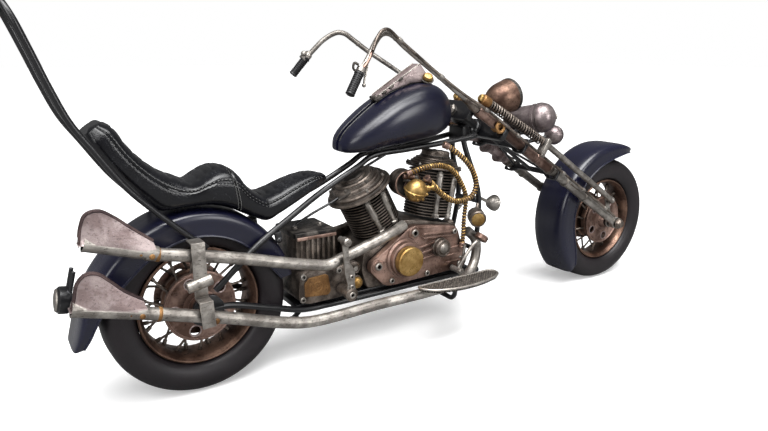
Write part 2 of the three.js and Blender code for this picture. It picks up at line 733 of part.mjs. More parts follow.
function sissyBar() {
  const lower = [
    [-1.8, 74.6], [-17.9, 90.3], [-27.9, 101.4], [-38.2, 117],
    [-44.8, 127.4], [-49.8, 139.6], [-54.6, 153.4], [-58.6, 164.4],
  ];
  const right = lower.map(([x, z]) => V(x, -SISSY_Y, z));
  const top = [V(-60.9, -13, 169.6), V(-61.8, -7, 171.6), V(-61.8, 7, 171.6), V(-60.9, 13, 169.6)];
  const left = lower.map(([x, z]) => V(x, SISSY_Y, z)).reverse();
  return tube([...right, ...top, ...left], SISSY_RADIUS, 32);
}
piece("sissy_bar", blackPaint, sissyBar());

const tailLampProfile = [[0, 0], [5, 0], [6.2, 1.6], [6.2, 5], [4.8, 6.2], [0, 6.6]];
const tailLamp = joined(
  turned(tailLampProfile, V(-50.8, 0, 53.2), V(-57, 0, 54.2), 14),
  rod(V(-51.2, -3, 57), V(-48.8, -3, 66), 1, 6),
  rod(V(-51.2, 3, 57), V(-48.8, 3, 66), 1, 6),
  rod(V(-51.6, -3.4, 57), V(-51.6, 3.4, 57), 1.2, 6),
);
piece("tail_lamp", blackPaint, tailLamp);

const sideLampProfile = [[0, 0], [3, 0.8], [4.8, 3], [5.4, 5.6], [5.2, 6.4], [0, 7]];
const sideLamp = joined(
  turned(sideLampProfile, V(194, 16, 59.6), V(200, 16.4, 58.6), 12),
  tube([V(167, 12.6, 60), V(175, 14.6, 64.6), V(186, 16, 64), V(196, 16, 59.8)], 1.1, 6),
);
piece("side_lamp", agedSilver, sideLamp);

// ---------------------------------------------------------------- fork

// A plain plate across the fork between two heights.
function forkPlate(sLow, sHigh, nBack, nFront, halfWidth) {
  const depth = (nFront - nBack) / 2;
  const block = new THREE.BoxGeometry(2 * depth, sHigh - sLow, 2 * halfWidth);
  const centre = onFork((sLow + sHigh) / 2, (nBack + nFront) / 2, 0);
  const basis = new THREE.Matrix4().makeBasis(
    onFork(0, 1, 0).sub(onFork(0, 0, 0)),
    onFork(1, 0, 0).sub(onFork(0, 0, 0)),
    V(0, 1, 0),
  );
  return block.applyMatrix4(basis).translate(centre.x, centre.y, centre.z);
}

function forkTrees() {
  const legHoles = SIDES.map(([, side]) => {
    const y = side * FORK_LEG_Y;
    return rod(onFork(60, 0, y), onFork(170, 0, y), 3.6, 8);
  });
  return without(
    joined(
      rod(onFork(LOWER_TREE_S, STEER_OFFSET, 0), onFork(UPPER_TREE_S + 3, STEER_OFFSET, 0), 2.4, 10),
      rod(onFork(UPPER_TREE_S + 1, STEER_OFFSET, 0), onFork(UPPER_TREE_S + 3.6, STEER_OFFSET, 0), 3.4, 6),
      forkPlate(LOWER_TREE_S - 2, LOWER_TREE_S + 2, -8, 4, 22.6),
      forkPlate(UPPER_TREE_S - 2, UPPER_TREE_S + 1.2, -7, 4, 15),
      forkPlate(72, LOWER_TREE_S, -4, -1.6, 3.4),
      forkPlate(108, 109.8, -6.4, 4, 22.4),
      forkPlate(72, 73.8, -6.4, 4, 22.4),
    ),
    ...legHoles,
  );
}
piece("fork_trees", blackPaint, forkTrees());

// One telescopic leg: silver slider, clamp ring, copper sleeve and top nut, with the axle eye.
function forkLeg(side) {
  const y = side * FORK_LEG_Y;
  const profile = [
    [0, 0], [2.7, 0], [2.7, 79], [3.35, 79.2], [3.35, 81.4], [3.1, 81.6], [3.1, 131], [3.9, 131.2],
    [3.9, 134.4], [3, 134.8], [3, FORK_LEG_TOP - 1], [2.2, FORK_LEG_TOP], [0, FORK_LEG_TOP],
  ];
  const leg = turned(profile, onFork(0, 0, y), onFork(1, 0, y), 10);
  const eye = rod(onFork(0, 0, y - 2.9), onFork(0, 0, y + 2.9), 4.4, 12);
  return without(joined(leg, eye), rod(onFork(0, 0, y - 9), onFork(0, 0, y + 9), AXLE_RADIUS + GAP, 10));
}

// The spring strut in front of a leg: lower rod, its foot on the axle, the bracket, the guide rod,
// the coil spring round it and the brass nut on top.
function springStrut(side) {
  const rodY = side * 17;
  const low = onFork(94, 11, side * 15.6);
  const high = onFork(140, 9.6, side * 11);
  const direction = high.clone().sub(low).normalize();
  const turns = 7;
  const stepsPerTurn = 6;
  const across = new THREE.Vector3().crossVectors(direction, V(0, 1, 0)).normalize();
  const other = new THREE.Vector3().crossVectors(direction, across);
  const coil = [];
  for (let i = 0; i <= turns * stepsPerTurn; i += 1) {
    const angle = (2 * Math.PI * i) / stepsPerTurn;
    const [a, b] = [COIL_RADIUS * Math.cos(angle), COIL_RADIUS * Math.sin(angle)];
    const centre = low.clone().lerp(high, i / (turns * stepsPerTurn));
    coil.push(centre.addScaledVector(across, a).addScaledVector(other, b));
  }
  const eyeY = side * 14.2;
  const foot = joined(
    rod(onFork(0, 0, eyeY - 0.6), onFork(0, 0, eyeY + 0.6), 4.2, 12),
    forkBar(onFork(0, 0, eyeY), onFork(14, 11, eyeY), 3.4, 1.2),
    rod(onFork(13, 11, side * 14), onFork(13, 11, side * 18), 1.7, 8),
  );
  const parts = joined(
    rod(onFork(12, 11, rodY), onFork(92, 11, rodY), 1.9, 8),
    forkPlateAt(side, 88, 93.4, 4.4, 16.6, 13, 20.4),
    rod(onFork(92, 11, side * 15.6), onFork(146, 9.4, side * 10.4), 1.3, 8),
    rod(onFork(139.4, 9.6, side * 11.06), onFork(144, 9.5, side * 10.6), 3.8, 10),
    tube(coil, 0.8, turns * stepsPerTurn, 4),
  );
  return without(parts.add(foot), rod(onFork(0, 0, -30), onFork(0, 0, 30), AXLE_RADIUS + GAP, 10));
}

// A flat bar between two points of one Y plane.
function forkBar(from, to, width, thickness) {
  const along = to.clone().sub(from);
  const basis = new THREE.Matrix4().makeBasis(
    V(0, 1, 0).cross(along.clone().normalize()),
    along.clone().normalize(),
    V(0, 1, 0),
  );
  const centre = from.clone().add(to).multiplyScalar(0.5);
  const bar = new THREE.BoxGeometry(width, along.length(), thickness);
  return bar.applyMatrix4(basis).translate(centre.x, centre.y, centre.z);
}

function forkPlateAt(side, sLow, sHigh, nBack, nFront, yInner, yOuter) {
  const shift = side * (yInner + yOuter) / 2;
  return forkPlate(sLow, sHigh, nBack, nFront, (yOuter - yInner) / 2).translate(0, shift, 0);
}

// The bars were bent by hand, so the two sides differ: each one's run above the fork, and its grip.
const handlebarRuns = {
  right: [
    V(123, -18, 143),
    V(112.1, -18.6, 149.9),
    V(102.4, -19.4, 156.2),
    V(96.7, -20, 159.4),
    V(92.3, -20.8, 160.4),
    V(87.9, -22.4, 159.4),
    V(83, -25, 155.8),
    V(78.2, -28, 151.2),
    V(74.2, -30, 147),
    V(72, -30.7, 144.8),
  ],
  left: [
    V(129.8, 18, 139.8),
    V(117.7, 19, 147.1),
    V(106, 20, 154),
    V(97.6, 20.6, 159.6),
    V(94, 21.2, 162),
    V(90.5, 22, 162.7),
    V(87.5, 23.6, 161.7),
    V(82.9, 26, 158.4),
    V(80, 28, 155),
    V(76.6, 30.4, 150.8),
  ],
};
const gripEnds = {
  right: [V(71.4, -30.9, 144.2), V(65.2, -32.6, 134.8)],
  left: [V(75.8, 30.8, 150), V(68.9, 33, 141.4)],
};

function handlebar(name, side) {
  const base = onFork(FORK_LEG_TOP + GAP, 0, side * FORK_LEG_Y);
  return tube([base, onFork(160, 0.4, side * 17.4), ...handlebarRuns[name]], HANDLEBAR_RADIUS, 17);
}

function grip(name) {
  const [start, end] = gripEnds[name];
  const profile = [[0, 0]];
  for (let i = 0; i < 3; i += 1) {
    profile.push([2.3, i * 3.8], [2.3, i * 3.8 + 2.6], [2, i * 3.8 + 3.2]);
  }
  profile.push([2, 11.4], [0, 11.4]);
  return turned(profile, start, end, 10);
}

for (const [name, side] of SIDES) {
  piece(`fork_leg_${name}`, agedSilver, forkLeg(side));
  piece(`spring_strut_${name}`, agedSilver, springStrut(side));
  piece(`handlebar_${name}`, agedSilver, handlebar(name, side));
  piece(`grip_${name}`, blackPaint, grip(name));
}

const brakeCableRoute = [
  onFork(9, 1.6, -22.6),
  onFork(40, 1.6, -23.2),
  onFork(110, 1.2, -24),
  onFork(150, 1.4, -22.6),
  V(138, -22.2, 132.6),
  V(119.1, -22.2, 144.6),
  V(108.6, -22.8, 151.5),
  V(97.2, -23.6, 159),
  V(92.5, -24.2, 162.3),
  V(89.8, -24.8, 163.2),
  V(86.2, -25.8, 162.2),
  V(81.6, -28.4, 158),
  V(78.6, -30.6, 153.6),
];
piece("brake_cable", agedSilver, tube(brakeCableRoute, CONTROL_CABLE_RADIUS, 24));

const headlightProfile = [
  [0, 0], [3.6, 0.6], [6.8, 3.4], [8.8, 8], [9.6, 14],
  [10, 16], [10, 17.6], [9, 18.6], [0, 19.6],
];
const headlight = joined(
  turned(headlightProfile, V(176.6, 0, 124.6), V(195.5, 0, 128.9), 16),
  tube([V(178.6, 0, 124.8), V(174, 0, 121.4), onFork(LOWER_TREE_S + 3.6, 6.2, 0)], 1.7, 6),
);
piece("headlight", copper, headlight);

const canisterProfile = [
  [0, 0], [8.2, 0], [8.7, 0.8], [8.7, 20.6], [9.1, 21], [9.1, 23.4],
  [8.7, 24], [7.6, 29], [5, 33.4], [2, 35.6], [0, 35.8],
];
// The canister lies across the fork with its domed end out to the right.
const canister = joined(
  turned(canisterProfile, V(204, 11, 110.5), V(217.4, -21.5, 117.6), 16),
  rod(V(206.6, 0, 108), onFork(107.6, 5.8, 0), 1.7, 6),
);
piece("spot_canister", pewter, canister);

const ballLamp = joined(
  new THREE.SphereGeometry(6.2, 12, 8).translate(233.4, 0, 102),
  tube([V(231, 1, 101.6), V(216, 4, 98.8), V(202, 6, 99.4), onFork(108.9, 5.7, 6)], 1.3, 8),
);
piece("ball_lamp", pewter, ballLamp);

// ---------------------------------------------------------------- side stand

const STAND_PIVOT = V(74.5, 18.2, 27.2);
const STAND_FOOT = V(66.5, 40, 0);
const sideStand = joined(
  rod(STAND_PIVOT, STAND_FOOT.clone().add(V(0, -1, 2)), 1.6, 8),
  new THREE.SphereGeometry(2.6, 8, 6).translate(STAND_PIVOT.x, STAND_PIVOT.y + 1.4, STAND_PIVOT.z),
  box(STAND_FOOT.x - 4.5, STAND_FOOT.x + 4.5, STAND_FOOT.y - 3, STAND_FOOT.y + 3, 0, 1.8),
);
piece("side_stand", blackPaint, sideStand);

// ---------------------------------------------------------------- centred on the bounding box

const bounds = new THREE.Box3().setFromObject(model);
model.position.x = -(bounds.min.x + bounds.max.x) / 2;
model.updateMatrixWorld(true);

export default model;
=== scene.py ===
import math

import bmesh
import bpy
from mathutils import Matrix, Vector


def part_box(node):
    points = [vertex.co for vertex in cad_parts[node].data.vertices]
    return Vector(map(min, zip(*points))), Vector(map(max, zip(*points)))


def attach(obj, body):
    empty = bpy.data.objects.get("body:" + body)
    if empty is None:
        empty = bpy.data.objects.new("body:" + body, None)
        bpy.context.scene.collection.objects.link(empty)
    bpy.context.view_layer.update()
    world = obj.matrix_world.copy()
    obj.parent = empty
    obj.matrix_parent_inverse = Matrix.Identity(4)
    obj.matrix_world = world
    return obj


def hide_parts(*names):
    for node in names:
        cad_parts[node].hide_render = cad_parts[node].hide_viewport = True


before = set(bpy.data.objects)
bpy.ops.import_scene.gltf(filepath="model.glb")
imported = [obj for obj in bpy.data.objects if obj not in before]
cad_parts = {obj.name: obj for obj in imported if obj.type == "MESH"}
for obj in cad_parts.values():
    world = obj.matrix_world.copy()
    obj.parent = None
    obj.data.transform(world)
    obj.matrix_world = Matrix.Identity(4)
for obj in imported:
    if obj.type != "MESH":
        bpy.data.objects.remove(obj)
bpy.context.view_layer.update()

# The looks of a hand-made metal display chopper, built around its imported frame.
# Shapes are laid out in millimetres from the point of the ground under the rear axle:
# X forward, Y to the rider's left, Z up. at() turns such a point into the frame's metres.

# ------------------------------------------------------------------ places taken from the frame

MM = 0.001
rear_low, rear_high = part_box("rear_axle")
front_low, front_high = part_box("front_axle")
REAR_X = (rear_low.x + rear_high.x) / 2
AXLE_Z = (rear_low.z + rear_high.z) / 2 / MM
WHEELBASE = ((front_low.x + front_high.x) / 2 - REAR_X) / MM
TYRE_RADIUS = AXLE_Z
RAKE = math.radians(57.2)
UP_FORK = Vector((-math.sin(RAKE), 0, math.cos(RAKE)))
FORK_FRONT = Vector((math.cos(RAKE), 0, math.sin(RAKE)))
LEG_Y = 18
SIDES = (("right", -1), ("left", 1))


def at(point):
    """A point of the layout, in the frame's metres."""
    return Vector((REAR_X + point[0] * MM, point[1] * MM, point[2] * MM))


def on_fork(s, n, y):
    """A point s up the fork legs from the front axle, n forward of their plane and y across."""
    return Vector((WHEELBASE, y, AXLE_Z)) + UP_FORK * s + FORK_FRONT * n


# ------------------------------------------------------------------ shapes: (points, faces)


def lathe(profile, start, end, segments=48):
    """Turns (radius, distance) points about the line from start towards end."""
    start = Vector(start)
    axis = (Vector(end) - start).normalized()
    side = axis.orthogonal().normalized()
    other = axis.cross(side)
    points, rows = [], []
    for radius, along in profile:
        if radius < 1e-6:
            rows.append([len(points)] * segments)
            points.append(start + axis * along)
            continue
        rows.append(list(range(len(points), len(points) + segments)))
        for i in range(segments):
            angle = 2 * math.pi * i / segments
            points.append(start + axis * along + (side * math.cos(angle) + other * math.sin(angle)) * radius)
    pairs = list(zip(rows, rows[1:]))
    if profile[0][0] > 1e-6 and profile[-1][0] > 1e-6:
        pairs.append((rows[-1], rows[0]))
    faces = []
    for low, high in pairs:
        for i in range(segments):
            j = (i + 1) % segments
            corners = list(dict.fromkeys((low[i], low[j], high[j], high[i])))
            if len(corners) > 2:
                faces.append(tuple(corners))
    return points, faces


def turned(profile, start, end, segments=48):
    """A solid lathed shape: its profile is closed to the axis at both ends."""
    return lathe([(0, profile[0][1]), *profile, (0, profile[-1][1])], start, end, segments)


def ring(centre, axis, radius, wire, segments=48, sides=10):
    """A ring of round wire."""
    loop = [2 * math.pi * i / sides for i in range(sides)]
    profile = [(radius + wire * math.cos(a), wire * math.sin(a)) for a in loop]
    return lathe(profile, centre, Vector(centre) + Vector(axis), segments)


def ball(centre, radius, axis=(0, 0, 1), squash=1.0, segments=32):
    """A ball, or a dome flattened along its axis."""
    turns = [math.pi * i / 16 for i in range(17)]
    profile = [(radius * math.sin(a), -radius * squash * math.cos(a)) for a in turns]
    profile[0] = (0, profile[0][1])
    profile[-1] = (0, profile[-1][1])
    return lathe(profile, centre, Vector(centre) + Vector(axis), segments)


def spline(controls, count):
    """Evenly spaced points on a centripetal Catmull-Rom curve through the given ones."""
    controls = [Vector(p) for p in controls]
    ends = [controls[0] * 2 - controls[1], *controls, controls[-1] * 2 - controls[-2]]
    dense = []
    for a, b, c, d in zip(ends, ends[1:], ends[2:], ends[3:]):
        tb = (b - a).length ** 0.5
        tc = tb + (c - b).length ** 0.5
        td = tc + (d - c).length ** 0.5
        for k in range(16):
            t = tb + (tc - tb) * k / 16
            ab = a.lerp(b, t / tb)
            bc = b.lerp(c, (t - tb) / (tc - tb))
            cd = c.lerp(d, (t - tc) / (td - tc))
            abc = ab.lerp(bc, t / tc)
            bcd = bc.lerp(cd, (t - tb) / (td - tb))
            dense.append(abc.lerp(bcd, (t - tb) / (tc - tb)))
    dense.append(controls[-1])
    lengths = [0.0]
    for p, q in zip(dense, dense[1:]):
        lengths.append(lengths[-1] + (q - p).length)
    out, k = [], 0
    for i in range(count):
        goal = lengths[-1] * i / (count - 1)
        while k + 2 < len(lengths) and lengths[k + 1] < goal:
            k += 1
        share = (goal - lengths[k]) / max(lengths[k + 1] - lengths[k], 1e-9)
        out.append(dense[k].lerp(dense[k + 1], share))
    return out


def path_length(path):
    return sum((q - p).length for p, q in zip(path, path[1:]))


def frames(path):
    """(point, across, other) along a path, turning as little as possible."""
    along = [(path[min(i + 1, len(path) - 1)] - path[max(i - 1, 0)]).normalized() for i in range(len(path))]
    across = along[0].orthogonal().normalized()
    out = []
    for point, direction in zip(path, along):
        across = (across - direction * across.dot(direction)).normalized()
        out.append((point, across, direction.cross(across)))
    return out


def sweep(path, radius, sides=14):
    """A round bar along a path, closed at its ends. The radius is a number or a function of
    the share of the length and the angle round it."""
    size = radius if callable(radius) else lambda share, angle: radius
    points, faces = [], []
    last = len(path) - 1
    for i, (centre, across, other) in enumerate(frames(path)):
        for k in range(sides):
            angle = 2 * math.pi * k / sides
            reach = size(i / last, angle)
            points.append(centre + (across * math.cos(angle) + other * math.sin(angle)) * reach)
    for i in range(last):
        for k in range(sides):
            n = (k + 1) % sides
            faces.append((i * sides + k, i * sides + n, (i + 1) * sides + n, (i + 1) * sides + k))
    for first, centre in ((0, path[0]), (last * sides, path[-1])):
        points.append(centre)
        for k in range(sides):
            faces.append((first + k, first + (k + 1) % sides, len(points) - 1))
    return points, faces


def tube(controls, radius, count=40, sides=14):
    """A round bar on a smooth curve through the given points."""
    return sweep(spline(controls, count), radius, sides)


def rod(start, end, radius, sides=16, chamfer=0.15):
    """A straight round bar with chamfered ends."""
    length = (Vector(end) - Vector(start)).length
    profile = [(0, 0), (radius - chamfer, 0), (radius, chamfer)]
    profile += [(radius, length - chamfer), (radius - chamfer, length), (0, length)]
    return lathe(profile, start, end, sides)


def bar(start, end, width, depth, chamfer=0.25, across=(0, 1, 0)):
    """A square bar between two points: width along across, depth the other way."""
    start, end, across = Vector(start), Vector(end), Vector(across)
    along = (end - start).normalized()
    across = (across - along * across.dot(along)).normalized()
    other = along.cross(across)
    half = Vector((width / 2, depth / 2, (end - start).length / 2))
    made = bmesh.new()
    bmesh.ops.create_cube(made, size=2)
    for vert in made.verts:
        vert.co = Vector(a * b for a, b in zip(vert.co, half))
    bmesh.ops.bevel(made, geom=list(made.edges), offset=chamfer, segments=2, profile=0.5, affect="EDGES")
    middle = (start + end) / 2
    points = [middle + across * v.co.x + other * v.co.y + along * v.co.z for v in made.verts]
    made.verts.index_update()
    faces = [tuple(v.index for v in f.verts) for f in made.faces]
    made.free()
    return points, faces


def block(x0, x1, y0, y1, z0, z1, chamfer=0.3):
    """A chamfered box between two corners."""
    middle_x, middle_y = (x0 + x1) / 2, (y0 + y1) / 2
    return bar((middle_x, middle_y, z0), (middle_x, middle_y, z1), y1 - y0, x1 - x0, chamfer)


SIDE_PLANE = Matrix(((1, 0, 0, 0), (0, 0, 1, 0), (0, 1, 0, 0), (0, 0, 0, 1)))


def plate(outlines, low, high, bevel=0.3, place=SIDE_PLANE):
    """A flat plate between two heights of its plane. The first outline is its edge and the rest
    are holes. place carries (u, v, height) to a point."""
    curve = bpy.data.curves.new("outline", "CURVE")
    curve.dimensions = "2D"
    curve.fill_mode = "BOTH"
    curve.extrude = (high - low) / 2 - bevel
    curve.bevel_depth = bevel
    curve.bevel_resolution = 1
    curve.offset = -bevel
    for outline in outlines:
        line = curve.splines.new("POLY")
        line.points.add(len(outline) - 1)
        for point, (u, v) in zip(line.points, outline):
            point.co = (u, v, 0, 1)
        line.use_cyclic_u = True
    holder = bpy.data.objects.new("outline", curve)
    mesh = bpy.data.meshes.new_from_object(holder)
    made = bmesh.new()
    made.from_mesh(mesh)
    bmesh.ops.remove_doubles(made, verts=made.verts, dist=0.01)
    made.verts.index_update()
    middle = (low + high) / 2
    points = [place @ Vector((v.co.x, v.co.y, v.co.z + middle)) for v in made.verts]
    faces = [tuple(v.index for v in f.verts) for f in made.faces]
    made.free()
    bpy.data.objects.remove(holder)
    bpy.data.curves.remove(curve)
    bpy.data.meshes.remove(mesh)
    return points, faces


def arc(u, v, radius, start, end, count=10):
    """Points on an arc about (u, v), between two angles in degrees."""
    turns = [math.radians(start + (end - start) * i / count) for i in range(count + 1)]
    return [(u + radius * math.cos(a), v + radius * math.sin(a)) for a in turns]


def circle(u, v, radius, count=24):
    return arc(u, v, radius, 0, 360 * (count - 1) / count, count - 1)


def rounded(corners, radius, count=4):
    """An outline with its corners rounded off."""
    out = []
    total = len(corners)
    for i, corner in enumerate(corners):
        here = Vector(corner)
        before = Vector(corners[i - 1]) - here
        after = Vector(corners[(i + 1) % total]) - here
        reach = min(radius, before.length / 2.2, after.length / 2.2)
        a, b = here + before.normalized() * reach, here + after.normalized() * reach
        for k in range(count + 1):
            t = k / count
            point = a * (1 - t) ** 2 + here * 2 * t * (1 - t) + b * t ** 2
            out.append((point.x, point.y))
    return out


def lathe_across(profile, point, turn, segments=48):
    """Turns a profile about a line across the model: turn is -1 towards the right, 1 to the left."""
    return lathe(profile, point, Vector(point) + Vector((0, turn, 0)), segments)


def turned_across(profile, point, turn, segments=48):
    """A solid lathed shape about a line across the model."""
    return turned(profile, point, Vector(point) + Vector((0, turn, 0)), segments)


def hex_bolt(point, axis, radius=1.3, height=1.0):
    """A six-sided bolt head on its washer."""
    start = Vector(point)
    tip = start + Vector(axis).normalized()
    washer = turned([(radius * 1.25, 0), (radius * 1.25, 0.3)], start, tip, 20)
    profile = [(0, 0.25), (radius, 0.25), (radius, height - 0.25), (radius * 0.82, height), (0, height)]
    return [washer, lathe(profile, start, tip, 6)]


def socket(point, axis, radius=1.5, height=1.2):
    """A round screw head with a deep dark well."""
    start = Vector(point)
    profile = [(0, 0.2), (radius * 0.48, 0.2), (radius * 0.55, height), (radius * 0.85, height)]
    profile += [(radius, height - 0.25), (radius, 0), (0, 0)]
    return [lathe(profile, start, start + Vector(axis).normalized(), 20)]


def sockets(places, y, turn, radius=1.5, height=1.2):
    """Socket screws at the (x, z) places of a face at y that looks to the right or the left."""
    return [part for x, z in places for part in socket((x, y, z), (0, turn, 0), radius, height)]


def smooth_rows(rows, count):
    """Rows of numbers interpolated with a Catmull-Rom curve to the given count."""
    out = []
    last = len(rows) - 1
    for i in range(count):
        place = last * i / (count - 1)
        k = min(int(place), last - 1)
        t = place - k
        a, b, c, d = (rows[min(max(k + j, 0), last)] for j in (-1, 0, 1, 2))
        row = []
        for p, q, r, s in zip(a, b, c, d):
            row.append(0.5 * (2 * q + (r - p) * t + (2 * p - 5 * q + 4 * r - s) * t * t
                              + (3 * q - p - 3 * r + s) * t ** 3))
        out.append(row)
    return out


def skin(rings):
    """A closed skin over rings of equal length, with a fan over each end."""
    count = len(rings[0])
    points = [p for ring_points in rings for p in ring_points]
    faces = []
    for i in range(len(rings) - 1):
        for k in range(count):
            n = (k + 1) % count
            faces.append((i * count + k, i * count + n, (i + 1) * count + n, (i + 1) * count + k))
    for first, ends in ((0, rings[0]), ((len(rings) - 1) * count, rings[-1])):
        points.append(sum(ends, Vector()) / count)
        for k in range(count):
            faces.append((first + k, first + (k + 1) % count, len(points) - 1))
    return points, faces


def sheet_metal(outer, inner):
    """A sheet with thickness between two equal grids of points."""
    rows, columns = len(outer), len(outer[0])
    points = [p for row in outer for p in row] + [p for row in inner for p in row]
    shift = rows * columns
    faces = []
    for i in range(rows - 1):
        for k in range(columns - 1):
            a = i * columns + k
            quad = (a, a + 1, a + columns + 1, a + columns)
            faces.append(quad)
            faces.append(tuple(shift + q for q in reversed(quad)))
    rim = [(0, k) for k in range(columns)] + [(i, columns - 1) for i in range(1, rows)]
    rim += [(rows - 1, k) for k in range(columns - 2, -1, -1)] + [(i, 0) for i in range(rows - 2, 0, -1)]
    for (i, k), (m, n) in zip(rim, rim[1:] + rim[:1]):
        a, b = i * columns + k, m * columns + n
        faces.append((a, b, b + shift, a + shift))
    return points, faces


def helix(path, radius, turns, steps_per_turn=14):
    """Points winding round a path."""
    count = int(turns * steps_per_turn) + 1
    rings = frames(spline(path, count))
    out = []
    for i, (centre, across, other) in enumerate(rings):
        angle = 2 * math.pi * i / steps_per_turn
        out.append(centre + (across * math.cos(angle) + other * math.sin(angle)) * radius)
    return out


def piece(name, body, looks, replaces=(), crease=32):
    """One visible object from {material: [shapes]}, riding on a body."""
    points, faces, paints = [], [], []
    mesh = bpy.data.meshes.new(name)
    for index, (look, shapes) in enumerate(looks.items()):
        mesh.materials.append(look)
        for shape_points, shape_faces in shapes:
            first = len(points)
            points += [at(p) for p in shape_points]
            faces += [tuple(first + i for i in face) for face in shape_faces]
            paints += [index] * len(shape_faces)
    mesh.from_pydata(points, [], faces)
    mesh.polygons.foreach_set("material_index", paints)
    made = bmesh.new()
    made.from_mesh(mesh)
    bmesh.ops.recalc_face_normals(made, faces=made.faces)
    limit = math.radians(crease)
    for face in made.faces:
        face.smooth = True
    for edge in made.edges:
        edge.smooth = edge.calc_face_angle(math.pi) < limit
    made.to_mesh(mesh)
    made.free()
    thing = bpy.data.objects.new(name, mesh)
    bpy.context.scene.collection.objects.link(thing)
    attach(thing, body)
    if replaces:
        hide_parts(*replaces)
    return thing


# ------------------------------------------------------------------ materials


def tone(red, green, blue):
    """A display colour of 0 to 255 as the linear colour that a shader takes."""
    out = []
    for value in (red, green, blue):
        share = value / 255
        out.append(share / 12.92 if share <= 0.04045 else ((share + 0.055) / 1.055) ** 2.4)
    return (*out, 1)


class Look:
    """Builds one node material step by step, in the object's own coordinates."""

    def __init__(self, name):
        self.material = bpy.data.materials.new(name)
        self.material.use_nodes = True
        self.tree = self.material.node_tree
        self.shader = self.tree.nodes["Principled BSDF"]
        self.place = self.new("ShaderNodeTexCoord").outputs["Object"]

    def new(self, kind, **settings):
        node = self.tree.nodes.new(kind)
        for key, value in settings.items():
            setattr(node, key, value)
        return node

    def link(self, source, target):
        self.tree.links.new(source, target)

    def stretched(self, scale):
        node = self.new("ShaderNodeMapping")
        node.inputs["Scale"].default_value = scale
        self.link(self.place, node.inputs["Vector"])
        return node.outputs["Vector"]

    def noise(self, scale, detail=4, rough=0.6, stretch=(1, 1, 1)):
        node = self.new("ShaderNodeTexNoise")
        node.inputs["Scale"].default_value = scale
        node.inputs["Detail"].default_value = detail
        node.inputs["Roughness"].default_value = rough
        self.link(self.stretched(stretch), node.inputs["Vector"])
        return node.outputs["Fac"]

    def span(self, source, low, high, to_low=0.0, to_high=1.0):
        node = self.new("ShaderNodeMapRange")
        self.link(source, node.inputs["Value"])
        for key, value in (("From Min", low), ("From Max", high), ("To Min", to_low), ("To Max", to_high)):
            node.inputs[key].default_value = value
        return node.outputs["Result"]

    def maths(self, operation, a, b):
        node = self.new("ShaderNodeMath", operation=operation)
        for index, value in enumerate((a, b)):
            if isinstance(value, (int, float)):
                node.inputs[index].default_value = value
            else:
                self.link(value, node.inputs[index])
        return node.outputs["Value"]

    def mix(self, share, a, b, blend="MIX"):
        node = self.new("ShaderNodeMix", data_type="RGBA", blend_type=blend)
        for index, value in ((0, share), (6, a), (7, b)):
            if isinstance(value, (int, float, tuple)):
                node.inputs[index].default_value = value
            else:
                self.link(value, node.inputs[index])
        return node.outputs[2]

    def edges(self, width, reach=0.12):
        """1 on worn edges and 0 on flats."""
        soft = self.new("ShaderNodeBevel", samples=4)
        soft.inputs["Radius"].default_value = width
        dot = self.new("ShaderNodeVectorMath", operation="DOT_PRODUCT")
        self.link(soft.outputs["Normal"], dot.inputs[0])
        self.link(self.new("ShaderNodeNewGeometry").outputs["Normal"], dot.inputs[1])
        return self.span(dot.outputs["Value"], 1 - 0.01, 1 - reach)

    def recess(self, distance):
        """1 deep in corners and 0 in the open, read from ambient occlusion: the mask that paints shade into
        corners.
        """
        node = self.new("ShaderNodeAmbientOcclusion", samples=4)
        node.inputs["Distance"].default_value = distance
        return self.span(node.outputs["AO"], 0.85, 0.35)

    def finish(self, color, rough, bump, depth, metallic=0.0, **sockets):
        self.link(color, self.shader.inputs["Base Color"])
        self.link(rough, self.shader.inputs["Roughness"])
        node = self.new("ShaderNodeBump")
        node.inputs["Strength"].default_value = 1
        node.inputs["Distance"].default_value = depth
        self.link(bump, node.inputs["Height"])
        self.link(node.outputs["Normal"], self.shader.inputs["Normal"])
        self.shader.inputs["Metallic"].default_value = metallic
        for key, value in sockets.items():
            self.shader.inputs[key.replace("_", " ")].default_value = value
        return self.material


def aged_metal(name, light, middle, dark, rough=0.4, metallic=0.8, patch=110, wear=0.8, shade_and_wash=0.9,
               scratch=(1, 1, 1), depth=0.00012, blotch=0.5):
    """Metal with a rubbed wash: pale on the edges, dark and dull in the recesses, where the dark is painted
    shade together with the wash.
    """
    look = Look(name)
    broad = look.noise(patch, 5, 0.62)
    fine = look.noise(patch * 9, 4, 0.7, scratch)
    color = look.mix(look.span(broad, 0.42, 0.66), middle, light)
    color = look.mix(look.span(fine, 0.56, 0.70, 0, blotch), color, dark)
    # Painted shade: ambient occlusion darkens the colour in recesses, standing for the shade there together
    # with the wash.
    color = look.mix(look.maths("MULTIPLY", look.recess(0.0035), shade_and_wash), color, dark)
    worn = look.maths("MULTIPLY", look.edges(0.00045), look.span(fine, 0.3, 0.55, 0.35, wear))
    color = look.mix(worn, color, light)
    dull = look.span(fine, 0.3, 0.75, rough - 0.08, rough + 0.2)
    return look.finish(color, dull, fine, depth, metallic)


def painted(name, paint, rubbed, rough, scuff=0.5, coat=0.3, depth=0.00004, sheen_patch=0.5):
    """Satin paint over metal with faint brushing, scuffs and rubbed edges."""
    look = Look(name)
    broad = look.noise(45, 3, 0.5)
    fine = look.noise(700, 4, 0.65)
    brushed = look.noise(900, 3, 0.6, (0.12, 1, 1))
    deeper = tuple(c * 0.7 for c in paint[:3]) + (1,)
    color = look.mix(look.span(broad, 0.35, 0.7), paint, deeper)
    color = look.mix(look.span(brushed, 0.66, 0.8, 0, 0.25), color, rubbed)
    worn = look.maths("MULTIPLY", look.edges(0.0004), look.span(fine, 0.42, 0.62, 0, scuff))
    color = look.mix(worn, color, rubbed)
    dull = look.span(broad, 0.3, 0.7, rough - 0.05 * sheen_patch, rough + 0.12 * sheen_patch)
    return look.finish(color, dull, brushed, depth, 0.0, Coat_Weight=coat, Coat_Roughness=0.25)


